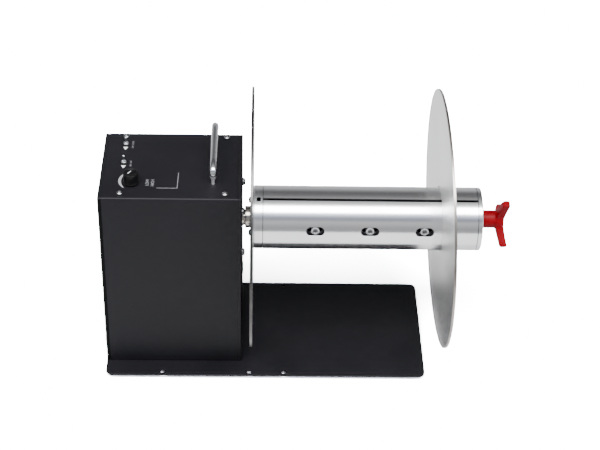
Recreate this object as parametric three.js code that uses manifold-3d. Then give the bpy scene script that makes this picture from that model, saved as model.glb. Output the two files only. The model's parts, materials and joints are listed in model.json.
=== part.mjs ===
// Label rewinder: a folded steel housing on a base plate, whose geared motor turns an expanding
// aluminium mandrel that winds a web of labels between two flange discs.
//
// Millimetres, +Z up. X runs along the spindle, from the housing to the lock knob. While the pieces are
// made, X is zero on the mandrel's side of the inner disc, Y is zero on the spindle axis, and Z is zero on
// the top of the base plate. The last lines bring the centre of the part's footprint to the origin.

import * as THREE from "three";
import { mergeVertices } from "three/addons/utils/BufferGeometryUtils.js";
import Module from "manifold-3d";

const wasm = await Module();
wasm.setup();

// Shared clearances
const seatGap = 0.2;
const runningGap = 0.4;
const slideGap = 0.3;
const screwGap = 0.3;
const overrun = 1;

// Base plate and its feet
const plateLength = 384.4;
const plateThickness = 2.5;
const plateCornerRadius = 8;
const plateLeftMargin = 0.3;
const plateFrontMargin = 24.6;
const plateRearMargin = 19;
const plateHoleRadius = 3.2;
const plateHoleInset = 5.6;
const plateHolePlaces = [68, 172, 213.8];
const footRadius = 9;
const footTipRadius = 7.5;
const footHeight = 5;
const footInset = 20;

// Housing: two side plates on a floor, and a cover of bent sheet between them
const housingWidth = 162.2;
const housingDepth = 130.2;
const sidePlateThickness = 3.5;
const sidePlateRounding = 1.8;
const floorThickness = 3;
const coverThickness = 2;
const coverBendRadius = 3;
const seamGap = 0.25;
const tabThickness = 3;
const frontTabDepth = 17.5;
const rearTabDepth = 10;
const leftTabLength = 34;
const tabToNutGap = 1.2;

// Spindle line
const discToPlate = 21.7;
const spindleToPanel = 69.6;
const frontToSpindle = 60.3;
const shaftRadius = 6;
const shaftTailLength = 26;
const discThickness = 3;
const discRadius = 153;
const collarLength = 6.8;
const collarRadius = 12.9;
const collarChamfer = 0.4;
const noseRadius = 10.35;
const noseReach = 2.7;

// Gearbox and motor
const gearboxSide = 74;
const gearboxLength = 46;
const gearboxCorner = 6;
const motorRadius = 30;
const motorLength = 66;
const motorCapRadius = 21;
const motorCapLength = 7;
const motorScrewSpacing = 59;
const motorScrewReach = 8;
const motorScrewRadius = 2;
const motorHeadRadius = 4.5;
const motorHeadHeight = 3.4;

// Expanding mandrel
const mandrelRadius = 37.25;
const rearHubLength = 11;
const shellLength = 249.9;
const endRingLength = 5.3;
const edgeChamfer = 0.6;
const shellCount = 3;
const shellBoreRadius = 31;
const slitWidth = 1.6;
const sectorReachShare = 4;
const shellAngle = 169.5;
const padRadius = 33;
const shellTravel = 0.8;
const wedgeTravel = 3;
const landLength = 40;
const landApothem = 22;
const landTrimRadius = 27;
const coreRadius = 17;
const coreInset = 8;
const tubeRadius = 12;
const tubeBoreRadius = 6.45;
const tubeBoreLength = 62;

// Guide screws, three to each shell, with their heads in long slots
const guideScrewCount = 3;
const guideScrewLead = 60.7;
const guideScrewTail = 62;
const guideHeadRadius = 5;
const guideHeadHeight = 4.6;
const guideHeadSeat = 31;
const guideShankRadius = 2.9;
const guideShankEnd = 14;
const guideSocketRadius = 2.9;
const guideSocketDepth = 2.6;
const slotLength = 20.8;
const slotWidth = 10.8;
const slotLedge = 29.9;
const ledgeSlotLength = 16.8;
const ledgeSlotWidth = 6.8;

// Draw screw, its key through the tube, and the lock knob
const drawScrewRadius = 4;
const drawScrewInset = 8;
const keyLength = 10;
const keyWidth = 8;
const keyReach = 16.5;
const keyNutRadius = 6.1;
const keyNutLength = 14;
const keyInset = 29.2;
const keyClearance = 0.3;
const knobHubRadius = 10.5;
const knobHubLength = 17;
const knobBoreDepth = 13;
const knobArmCount = 3;
const knobArmAngle = 109.3;
const knobTipRadius = 33.6;
const knobFaceReach = 26.4;
const knobArmRise = 5.9;
const knobArmThickness = 9.6;
const knobTipThickness = 7.6;
const knobRootWidth = 12;
const knobRootShare = 0.8;
const knobTipWidth = 7.4;
const knobTipRounding = 2.4;

// Set screw of the rear hub and screws of the inner disc
const setScrewRadius = 2.9;
const setScrewOuter = 31;
const setScrewSocketRadius = 1.9;
const setScrewSocketDepth = 4;
const discScrewCircle = 22;
const discScrewAngle = 80;
const discScrewCount = 3;
const discScrewRadius = 1.9;
const discScrewReach = 7;

// Outer flange disc, which leans a little on the mandrel that carries it
const outerDiscInset = 41.9;
const outerDiscBore = 38.3;
const outerDiscLeanUp = 1.655;
const outerDiscLeanBack = 1.037;

// Round-headed screws of the cover and the inner disc; those of the motor have larger heads
const panHeadRadius = 3.7;
const panHeadHeight = 2.6;
const panSocketRadius = 1.5;
const panSocketDepth = 1.4;
const panCrownShare = 0.7;
const coverScrewRadius = 1.6;
const coverScrewReach = 6;
const coverScrewLeft = 25;
const coverScrewRight = 18.9;
const coverScrewFront = 8.9;
const coverScrewRear = 8.9;

// Carry handle
const handlePlace = 32.5;
const handleFront = 29.8;
const handleBack = 7.4;
const handleRise = 21.1;
const handleRadius = 4;
const handleBendRise = 7.7;
const handleBendReach = 15.7;
const handleNeckRadius = 1.9;
const handleNeckHeight = 4.5;
const handleTaper = 7.9;
const handleStudLength = 8;
const handleNutRadius = 4.2;
const handleNutHeight = 3.2;

// Toggle switches and the torque control
const togglePlace = 25.5;
const toggleBacks = [61.1, 24.1];
const toggleBodyLength = 8;
const toggleBodyDepth = 12.6;
const toggleBodyHeight = 10;
const toggleBushRadius = 3;
const toggleBushReach = 2.8;
const toggleBushBore = 2.3;
const toggleNutRadius = 4.5;
const toggleNutHeight = 1.8;
const toggleBallGap = 0.25;
const toggleLeverRadius = 0.9;
const toggleLeverTipRadius = 1.3;
const toggleLeverLength = 11;
const potPlace = 36.5;
const potFront = 29.9;
const potRadius = 8;
const potHeight = 9;
const potBushRadius = 3.5;
const potBushReach = 5;
const potShaftRadius = 3;
const potShaftReach = 11;
const dialRadius = 9.2;
const dialTopRadius = 8.6;
const dialHeight = 14;
const dialBoreDepth = 11;
const dialEdge = 0.8;

// Control board, power inlet and blanking plug
const boardThickness = 1.6;
const boardEdgeGap = 25.1;
const boardHeight = 70;
const boardGap = 8;
const boardBottom = 20;
const boardPostRadius = 3;
const boardPostInset = 6;
const boardPartHeight = 14;
const boardPartShares = [
  [0.12, 0.2, 0.3, 0.45, 1],
  [0.5, 0.22, 0.28, 0.3, 0.6],
  [0.45, 0.66, 0.42, 0.2, 0.8],
];
const inletFront = 15.2;
const inletHeight = 24;
const inletRadius = 5.5;
const inletFlangeRadius = 7;
const inletFlangeReach = 1.3;
const inletLength = 16;
const inletBoreRadius = 3;
const inletBoreDepth = 9;
const inletPinRadius = 1;
const plugDrop = 77;
const plugRadius = 7.8;
const plugStemRadius = 6.2;
const plugReach = 1.2;
const plugStemLength = 6;

// Facets round a circle
const smallSteps = 12;
const mediumSteps = 24;
const shellSteps = 48;
const discSteps = 96;
const bendSteps = 4;
const hexSides = 6;
const handleSteps = 30;

// Places that follow from the sizes above
const spindleHeight = discRadius + discToPlate;
const housingHeight = spindleHeight + spindleToPanel;
const plateDepth = plateFrontMargin + housingDepth + plateRearMargin;
const wallOuter = -(discThickness + seatGap + collarLength + runningGap + noseReach + seatGap);
const wallInner = wallOuter - sidePlateThickness;
const housingLeft = wallOuter - housingWidth;
const leftInner = housingLeft + sidePlateThickness;
const housingFront = -frontToSpindle;
const housingBack = housingFront + housingDepth;
const plateLeft = housingLeft - plateLeftMargin;
const plateFront = housingFront - plateFrontMargin;
const plateRight = plateLeft + plateLength;
const plateBack = plateFront + plateDepth;
const panelUnderside = housingHeight - coverThickness;
const shellStart = rearHubLength + slideGap;
const shellEnd = shellStart + shellLength;
const endRingStart = shellEnd + slideGap;
const guideScrewPitch = (shellLength - guideScrewLead - guideScrewTail) / (guideScrewCount - 1);
const guideScrewPlaces = Array.from(
  { length: guideScrewCount },
  (_, i) => shellStart + guideScrewLead + i * guideScrewPitch,
);
const keyPlace = shellEnd - keyInset;
const outerDiscPlace = shellEnd - outerDiscInset;
const mandrelEnd = endRingStart + endRingLength;
const knobStart = mandrelEnd + slideGap;
const gearboxFace = wallInner - seatGap;
const motorFace = gearboxFace - gearboxLength - seatGap;
const togglePlaces = toggleBacks.map((back) => [housingLeft + togglePlace, housingBack - back]);
const potCentre = [housingLeft + potPlace, housingFront + potFront];
const handleX = wallOuter - handlePlace;
const handleY = housingFront + handleFront;
const handleSpan = housingDepth - handleFront - handleBack;
const rightTabLength = handlePlace - sidePlateThickness - handleNutRadius - tabToNutGap;
const boardWidth = housingDepth - 2 * boardEdgeGap;
const coverScrewPlaces = [
  [housingLeft + coverScrewLeft, housingFront + coverScrewFront],
  [wallOuter - coverScrewRight, housingFront + coverScrewFront],
  [housingLeft + coverScrewLeft, housingBack - coverScrewRear],
  [wallOuter - coverScrewRight, housingBack - coverScrewRear],
];
const motorScrewPlaces = [[-1, 1], [1, 1], [-1, -1], [1, -1]].map(([side, up]) => [
  (side * motorScrewSpacing) / 2,
  spindleHeight + (up * motorScrewSpacing) / 2,
]);
const wedgeSlope = shellTravel / wedgeTravel;
const slitAngle = shellAngle - 180 / shellCount;

// Materials
function finish(color, roughness, metalness) {
  return new THREE.MeshStandardMaterial({ color, roughness, metalness });
}

const blackPaint = finish(0x26262a, 0.55, 0.1);
const blackPlastic = finish(0x101012, 0.4, 0);
const rubber = finish(0x17171a, 0.9, 0);
const chrome = finish(0xd8dade, 0.12, 1);
const zinc = finish(0xb9bec2, 0.35, 0.9);
const aluminium = finish(0xc9cbce, 0.3, 0.9);
const satinAluminium = finish(0xc4c3c1, 0.5, 0.7);
const steel = finish(0xa9a29a, 0.35, 0.9);
const motorSteel = finish(0x8c8f94, 0.45, 0.8);
const redPlastic = finish(0xb41923, 0.4, 0);
const boardGreen = finish(0x1e5a36, 0.6, 0);

// Shape helpers
function radians(degrees) {
  return (degrees * Math.PI) / 180;
}

function facingOut(geometry) {
  const positions = geometry.getAttribute("position");
  const index = geometry.getIndex();
  const corners = [new THREE.Vector3(), new THREE.Vector3(), new THREE.Vector3()];
  const kept = [];
  let volume = 0;
  for (let i = 0; i < index.count; i += 3) {
    const triangle = [index.getX(i), index.getX(i + 1), index.getX(i + 2)];
    if (new Set(triangle).size < 3) continue;
    triangle.forEach((vertex, k) => corners[k].fromBufferAttribute(positions, vertex));
    volume += corners[0].dot(corners[1].cross(corners[2]));
    kept.push(triangle);
  }
  geometry.setIndex(kept.flatMap(([a, b, c]) => (volume < 0 ? [a, c, b] : [a, b, c])));
  return geometry;
}

function closed(geometry) {
  const bare = geometry.clone();
  bare.deleteAttribute("normal");
  bare.deleteAttribute("uv");
  return facingOut(mergeVertices(bare));
}

function toSolid(geometry) {
  const merged = closed(geometry);
  const vertProperties = new Float32Array(merged.getAttribute("position").array);
  const triVerts = new Uint32Array(merged.getIndex().array);
  return new wasm.Manifold(new wasm.Mesh({ numProp: 3, vertProperties, triVerts }));
}

function toGeometry(solid) {
  const mesh = solid.getMesh();
  const geometry = new THREE.BufferGeometry();
  geometry.setAttribute("position", new THREE.BufferAttribute(new Float32Array(mesh.vertProperties), 3));
  geometry.setIndex(new THREE.BufferAttribute(new Uint32Array(mesh.triVerts), 1));
  geometry.computeVertexNormals();
  return geometry;
}

function joined(...geometries) {
  const [first, ...rest] = geometries.map(toSolid);
  return toGeometry(rest.reduce((body, piece) => body.add(piece), first));
}

function cut(geometry, ...tools) {
  return toGeometry(tools.map(toSolid).reduce((body, tool) => body.subtract(tool), toSolid(geometry)));
}

function common(first, second) {
  return toGeometry(toSolid(first).intersect(toSolid(second)));
}

function block([x0, x1], [y0, y1], [z0, z1]) {
  const box = new THREE.BoxGeometry(x1 - x0, y1 - y0, z1 - z0);
  return box.translate((x0 + x1) / 2, (y0 + y1) / 2, (z0 + z1) / 2);
}

function rodAlongX(radius, [x0, x1], [y, z] = [0, 0], steps = mediumSteps) {
  const rod = new THREE.CylinderGeometry(radius, radius, x1 - x0, steps);
  return rod.rotateZ(-Math.PI / 2).translate((x0 + x1) / 2, y, z);
}

function rodAlongY(radius, [y0, y1], [x, z] = [0, 0], steps = mediumSteps) {
  const rod = new THREE.CylinderGeometry(radius, radius, y1 - y0, steps);
  return rod.translate(x, (y0 + y1) / 2, z);
}

function rodAlongZ(radius, [z0, z1], [x, y] = [0, 0], steps = mediumSteps) {
  const rod = new THREE.CylinderGeometry(radius, radius, z1 - z0, steps);
  return rod.rotateX(Math.PI / 2).translate(x, y, (z0 + z1) / 2);
}

// A turned piece from [radius, height] points, standing along Z
function turned(points, steps = mediumSteps) {
  const profile = points.map(([radius, height]) => new THREE.Vector2(radius, height));
  return new THREE.LatheGeometry(profile, steps).rotateX(Math.PI / 2);
}

// A turned piece from [radius, place] points, lying along X
function turnedAlongX(points, steps = mediumSteps) {
  const profile = points.map(([radius, place]) => new THREE.Vector2(radius, place));
  return new THREE.LatheGeometry(profile, steps).rotateZ(-Math.PI / 2);
}

// A flat outline in X and Y, raised from z0 to z1
function raised(shape, [z0, z1], curveSegments = bendSteps) {
  const solid = new THREE.ExtrudeGeometry(shape, { depth: z1 - z0, bevelEnabled: false, curveSegments });
  return solid.translate(0, 0, z0);
}

// An outline drawn in Y and Z, carried along X from x0 to x1
function alongX(shape, [x0, x1], curveSegments = bendSteps) {
  const solid = new THREE.ExtrudeGeometry(shape, { depth: x1 - x0, bevelEnabled: false, curveSegments });
  return solid.rotateX(Math.PI / 2).rotateZ(Math.PI / 2).translate(x0, 0, 0);
}

function outline(points) {
  return new THREE.Shape(points.map(([x, y]) => new THREE.Vector2(x, y)));
}

function roundedRectangle([x0, x1], [y0, y1], radius) {
  const shape = new THREE.Shape();
  shape.moveTo(x0 + radius, y0);
  shape.lineTo(x1 - radius, y0);
  shape.absarc(x1 - radius, y0 + radius, radius, -Math.PI / 2, 0);
  shape.lineTo(x1, y1 - radius);
  shape.absarc(x1 - radius, y1 - radius, radius, 0, Math.PI / 2);
  shape.lineTo(x0 + radius, y1);
  shape.absarc(x0 + radius, y1 - radius, radius, Math.PI / 2, Math.PI);
  shape.lineTo(x0, y0 + radius);
  shape.absarc(x0 + radius, y0 + radius, radius, Math.PI, Math.PI * 1.5);
  return shape;
}

// A doorway outline: square at the foot, with two round corners at the top
function archway([y0, y1], [z0, z1], radius) {
  const shape = new THREE.Shape();
  shape.moveTo(y0, z0);
  shape.lineTo(y1, z0);
  shape.lineTo(y1, z1 - radius);
  shape.absarc(y1 - radius, z1 - radius, radius, 0, Math.PI / 2);
  shape.lineTo(y0 + radius, z1);
  shape.absarc(y0 + radius, z1 - radius, radius, Math.PI / 2, Math.PI);
  return shape;
}

function sideways(geometry) {
  return geometry.rotateX(-Math.PI / 2);
}

// The part, and the sub-groups that carry the turning pieces
const rewinder = new THREE.Group();
const spindle = new THREE.Group();
spindle.position.z = spindleHeight;
rewinder.add(spindle);

function place(name, geometry, material, parent = rewinder) {
  const mesh = new THREE.Mesh(closed(geometry), material);
  mesh.name = name;
  parent.add(mesh);
  return mesh;
}

function turnedGroup(degrees, parent = spindle) {
  const group = new THREE.Group();
  group.rotation.x = radians(degrees);
  parent.add(group);
  return group;
}

// A round-headed screw pointing down along Z, with its head's seat at height zero
function panScrew(shankRadius, shankLength, headRadius = panHeadRadius, headHeight = panHeadHeight) {
  const screw = turned(
    [
      [0, -shankLength],
      [shankRadius, -shankLength],
      [shankRadius, 0],
      [headRadius, 0],
      [headRadius, headHeight / 2],
      [headRadius * panCrownShare, headHeight],
      [0, headHeight],
    ],
    smallSteps,
  );
  const socketFloor = headHeight - panSocketDepth;
  const socket = rodAlongZ(panSocketRadius, [socketFloor, headHeight + overrun], [0, 0], hexSides);
  return cut(screw, socket);
}

// Base plate and feet
function addBase() {
  const sheet = raised(
    roundedRectangle([plateLeft, plateRight], [plateFront, plateBack], plateCornerRadius),
    [-plateThickness, 0],
    smallSteps / 2,
  );
  const through = [-plateThickness - overrun, overrun];
  const holes = plateHolePlaces.flatMap((along) =>
    [plateFront + plateHoleInset, plateBack - plateHoleInset].map((across) =>
      rodAlongZ(plateHoleRadius, through, [plateLeft + along, across], smallSteps),
    ),
  );
  place("base_plate", cut(sheet, ...holes), blackPaint);

  const foot = turned([
    [0, -footHeight],
    [footTipRadius, -footHeight],
    [footRadius, 0],
    [0, 0],
  ]);
  let number = 1;
  for (const along of [plateLeft + footInset, plateRight - footInset]) {
    for (const across of [plateFront + footInset, plateBack - footInset]) {
      const mesh = place(`rubber_foot_${number}`, foot, rubber);
      mesh.position.set(along, across, -plateThickness);
      number += 1;
    }
  }
}

// One side plate: a flat plate whose outer edges are rounded over
function sidePlate(outerFace, outward) {
  const edge = { depth: sidePlateThickness, bevelEnabled: true, bevelSegments: 2, curveSegments: bendSteps };
  edge.bevelSize = sidePlateRounding;
  edge.bevelThickness = sidePlateRounding;
  const radius = coverBendRadius - sidePlateRounding;
  const span = [housingFront + sidePlateRounding, housingBack - sidePlateRounding];
  const shape = archway(span, [-sidePlateRounding, housingHeight - sidePlateRounding], radius);
  const slab = new THREE.ExtrudeGeometry(shape, edge).rotateX(Math.PI / 2).rotateZ(Math.PI / 2);
  const slabTop = sidePlateThickness + sidePlateRounding;
  if (outward > 0) slab.translate(outerFace - slabTop, 0, 0);
  else slab.translate(outerFace + sidePlateRounding, 0, 0);
  const inner = outerFace - outward * sidePlateThickness;
  const beyond = outerFace + outward * overrun;
  const keep = block(
    [Math.min(inner, beyond), Math.max(inner, beyond)],
    [housingFront - overrun, housingBack + overrun],
    [0, housingHeight + overrun],
  );
  return common(slab, keep);
}

// Chassis: side plates, floor and the four tabs that the cover is screwed to
function addChassis() {
  const insideFront = housingFront + coverThickness + seatGap;
  const insideBack = housingBack - coverThickness - seatGap;
  const tabTop = panelUnderside - seatGap;
  const tabRise = [tabTop - tabThickness, tabTop];
  const bite = sidePlateThickness / 2;
  const leftSpan = [leftInner - bite, leftInner + leftTabLength];
  const rightSpan = [wallInner - rightTabLength, wallInner + bite];
  const bendFront = housingFront + coverBendRadius + seatGap;
  const bendBack = housingBack - coverBendRadius - seatGap;
  const frontSpan = [bendFront, bendFront + frontTabDepth];
  const rearSpan = [bendBack - rearTabDepth, bendBack];
  const body = joined(
    sidePlate(housingLeft, -1),
    sidePlate(wallOuter, 1),
    block([leftInner - bite, wallInner + bite], [insideFront, insideBack], [0, floorThickness]),
    block(leftSpan, frontSpan, tabRise),
    block(leftSpan, rearSpan, tabRise),
    block(rightSpan, frontSpan, tabRise),
    block(rightSpan, rearSpan, tabRise),
  );
  const rightWall = [wallInner - overrun, wallOuter + overrun];
  const leftWall = [housingLeft - overrun, leftInner + overrun];
  const tabCut = [tabTop - tabThickness - overrun, tabTop + overrun];
  const tools = [
    rodAlongX(noseRadius + screwGap, rightWall, [0, spindleHeight]),
    rodAlongX(plugStemRadius + screwGap, rightWall, [0, spindleHeight - plugDrop]),
    rodAlongX(inletRadius + screwGap, leftWall, [housingFront + inletFront, inletHeight]),
    ...motorScrewPlaces.map((at) => rodAlongX(motorScrewRadius + screwGap, rightWall, at, smallSteps)),
    ...coverScrewPlaces.map((at) => rodAlongZ(coverScrewRadius + screwGap, tabCut, at, smallSteps)),
  ];
  place("chassis", cut(body, ...tools), blackPaint);
}

// Cover: front, top and back in one bent sheet, with the holes of the panel's fittings
function addCover() {
  const radius = coverBendRadius;
  const shape = archway([housingFront, housingBack], [0, housingHeight], radius);
  const innerSpan = [housingFront + coverThickness, housingBack - coverThickness];
  const inner = archway(innerSpan, [-overrun, panelUnderside], radius - coverThickness);
  const span = [leftInner + seamGap, wallInner - seamGap];
  const sheet = cut(alongX(shape, span), alongX(inner, [span[0] - overrun, span[1] + overrun], 2));
  const through = [panelUnderside - overrun, housingHeight + overrun];
  const tools = [
    ...coverScrewPlaces.map((at) => rodAlongZ(coverScrewRadius + screwGap, through, at, smallSteps)),
    ...togglePlaces.map((at) => rodAlongZ(toggleBushRadius + screwGap, through, at, smallSteps)),
    rodAlongZ(potBushRadius + screwGap, through, potCentre, smallSteps),
    ...[0, handleSpan].map((step) =>
      rodAlongZ(handleNeckRadius + screwGap, through, [handleX, handleY + step], smallSteps),
    ),
  ];
  place("housing_cover", cut(sheet, ...tools), blackPaint);

  const screw = panScrew(coverScrewRadius, coverScrewReach);
  coverScrewPlaces.forEach(([x, y], i) => {
    place(`cover_screw_${i + 1}`, screw, zinc).position.set(x, y, housingHeight + seatGap);
  });
}

// Carry handle: a bowed rod on two necks, whose studs pass through the cover to their nuts
function addHandle() {
  const neckTop = handleNeckHeight + handleTaper;
  const corner = (y, z) => new THREE.Vector3(0, y, z);
  const straightTop = handleRise - handleBendRise;
  const nearLeg = [corner(0, neckTop), corner(0, straightTop)];
  const farLeg = [corner(handleSpan, straightTop), corner(handleSpan, neckTop)];
  const top = [corner(handleBendReach, handleRise), corner(handleSpan - handleBendReach, handleRise)];
  const bow = new THREE.CurvePath();
  bow.add(new THREE.LineCurve3(...nearLeg));
  bow.add(new THREE.QuadraticBezierCurve3(nearLeg[1], corner(0, handleRise), top[0]));
  bow.add(new THREE.LineCurve3(...top));
  bow.add(new THREE.QuadraticBezierCurve3(top[1], corner(handleSpan, handleRise), farLeg[0]));
  bow.add(new THREE.LineCurve3(...farLeg));
  const section = new THREE.Shape();
  section.absarc(0, 0, handleRadius, 0, Math.PI * 2);
  const along = { extrudePath: bow, steps: handleSteps, curveSegments: bendSteps + 1 };
  const rod = new THREE.ExtrudeGeometry(section, along);
  const neck = turned(
    [
      [0, -coverThickness - handleStudLength],
      [handleNeckRadius, -coverThickness - handleStudLength],
      [handleNeckRadius, handleNeckHeight],
      [handleRadius, neckTop],
      [handleRadius, neckTop + edgeChamfer],
      [0, neckTop + edgeChamfer],
    ],
    smallSteps,
  );
  const farNeck = neck.clone().translate(0, handleSpan, 0);
  const handle = place("carry_handle", joined(rod, neck, farNeck), chrome);
  handle.position.set(handleX, handleY, housingHeight);

  const nutSpan = [-handleNutHeight, 0];
  const nut = cut(
    rodAlongZ(handleNutRadius, nutSpan, [0, 0], hexSides),
    rodAlongZ(handleNeckRadius + screwGap, [-handleNutHeight - overrun, overrun], [0, 0], smallSteps),
  );
  [0, handleSpan].forEach((step, i) => {
    const mesh = place(`handle_nut_${i + 1}`, nut, zinc);
    mesh.position.set(handleX, handleY + step, panelUnderside - seatGap);
  });
}

// Two toggle switches: body with its bush, ring nut above the panel, and the lever
function addToggles() {
  const bushTop = coverThickness + seatGap + toggleBushReach;
  const body = cut(
    joined(
      block(
        [-toggleBodyLength / 2, toggleBodyLength / 2],
        [-toggleBodyDepth / 2, toggleBodyDepth / 2],
        [-toggleBodyHeight, 0],
      ),
      rodAlongZ(toggleBushRadius, [-edgeChamfer, bushTop], [0, 0], smallSteps),
    ),
    rodAlongZ(toggleBushBore, [-toggleBodyHeight / 2, bushTop + overrun], [0, 0], smallSteps),
  );
  const nut = cut(
    rodAlongZ(toggleNutRadius, [0, toggleNutHeight], [0, 0], smallSteps),
    rodAlongZ(toggleBushRadius + screwGap, [-overrun, toggleNutHeight + overrun], [0, 0], smallSteps),
  );
  const leverTop = toggleLeverLength - toggleLeverTipRadius;
  const ball = toggleBushBore - toggleBallGap;
  const lever = turned(
    [
      [0, -ball],
      [ball * Math.SQRT1_2, -ball * Math.SQRT1_2],
      [ball, 0],
      [ball * Math.SQRT1_2, ball * Math.SQRT1_2],
      [toggleLeverRadius, ball],
      [toggleLeverTipRadius, leverTop],
      [toggleLeverTipRadius * Math.SQRT1_2, leverTop + toggleLeverTipRadius * Math.SQRT1_2],
      [0, toggleLeverLength],
    ],
    smallSteps,
  );
  togglePlaces.forEach(([x, y], i) => {
    const name = `toggle_${i + 1}`;
    place(`${name}_body`, body, zinc).position.set(x, y, panelUnderside - seatGap);
    place(`${name}_nut`, nut, chrome).position.set(x, y, housingHeight + seatGap);
    place(`${name}_lever`, lever, chrome).position.set(x, y, housingHeight);
  });
}

// Torque control: a potentiometer under the panel and its dial above it
function addTorqueControl() {
  const [x, y] = potCentre;
  const bushTop = coverThickness + seatGap + potBushReach;
  const pot = turned([
    [0, -potHeight],
    [potRadius, -potHeight],
    [potRadius, 0],
    [potBushRadius, 0],
    [potBushRadius, bushTop],
    [potShaftRadius, bushTop],
    [potShaftRadius, coverThickness + potShaftReach],
    [0, coverThickness + potShaftReach],
  ]);
  place("torque_pot", pot, zinc).position.set(x, y, panelUnderside - seatGap);

  const shell = turned([
    [0, 0],
    [dialRadius, 0],
    [dialTopRadius, dialHeight - dialEdge],
    [dialTopRadius - dialEdge, dialHeight],
    [0, dialHeight],
  ]);
  const bushSocket = potBushReach + runningGap;
  const dial = cut(
    shell,
    rodAlongZ(potBushRadius + runningGap, [-overrun, bushSocket]),
    rodAlongZ(potShaftRadius + slideGap, [-overrun, dialBoreDepth]),
  );
  place("torque_dial", dial, blackPlastic).position.set(x, y, housingHeight + runningGap);
}

// Gearbox, motor, bearing nose and the four screws through the side plate
function addDrive() {
  const half = gearboxSide / 2;
  const square = roundedRectangle([-half, half], [spindleHeight - half, spindleHeight + half], gearboxCorner);
  const shaftSpan = [gearboxFace - shaftTailLength - overrun, gearboxFace + overrun];
  const screwSpan = [gearboxFace - motorScrewReach - overrun, gearboxFace + overrun];
  const gearbox = cut(
    alongX(square, [gearboxFace - gearboxLength, gearboxFace]),
    rodAlongX(shaftRadius + runningGap, shaftSpan, [0, spindleHeight]),
    ...motorScrewPlaces.map((at) => rodAlongX(motorScrewRadius + screwGap, screwSpan, at, smallSteps)),
  );
  place("gearbox", gearbox, motorSteel);

  const motor = turnedAlongX([
    [0, 0],
    [motorRadius, 0],
    [motorRadius, -motorLength],
    [motorCapRadius, -motorLength],
    [motorCapRadius, -motorLength - motorCapLength],
    [0, -motorLength - motorCapLength],
  ]);
  place("motor", motor, motorSteel).position.set(motorFace, 0, spindleHeight);

  const noseSpan = [gearboxFace + seatGap, wallOuter + noseReach];
  const nose = cut(
    rodAlongX(noseRadius, noseSpan),
    rodAlongX(shaftRadius + runningGap, [noseSpan[0] - overrun, noseSpan[1] + overrun]),
  );
  place("bearing_nose", nose, steel).position.z = spindleHeight;

  const shank = sidePlateThickness + motorScrewReach;
  const screw = panScrew(motorScrewRadius, shank, motorHeadRadius, motorHeadHeight).rotateY(Math.PI / 2);
  motorScrewPlaces.forEach(([y, z], i) => {
    place(`motor_screw_${i + 1}`, screw, zinc).position.set(wallOuter + seatGap, y, z);
  });
}

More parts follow.
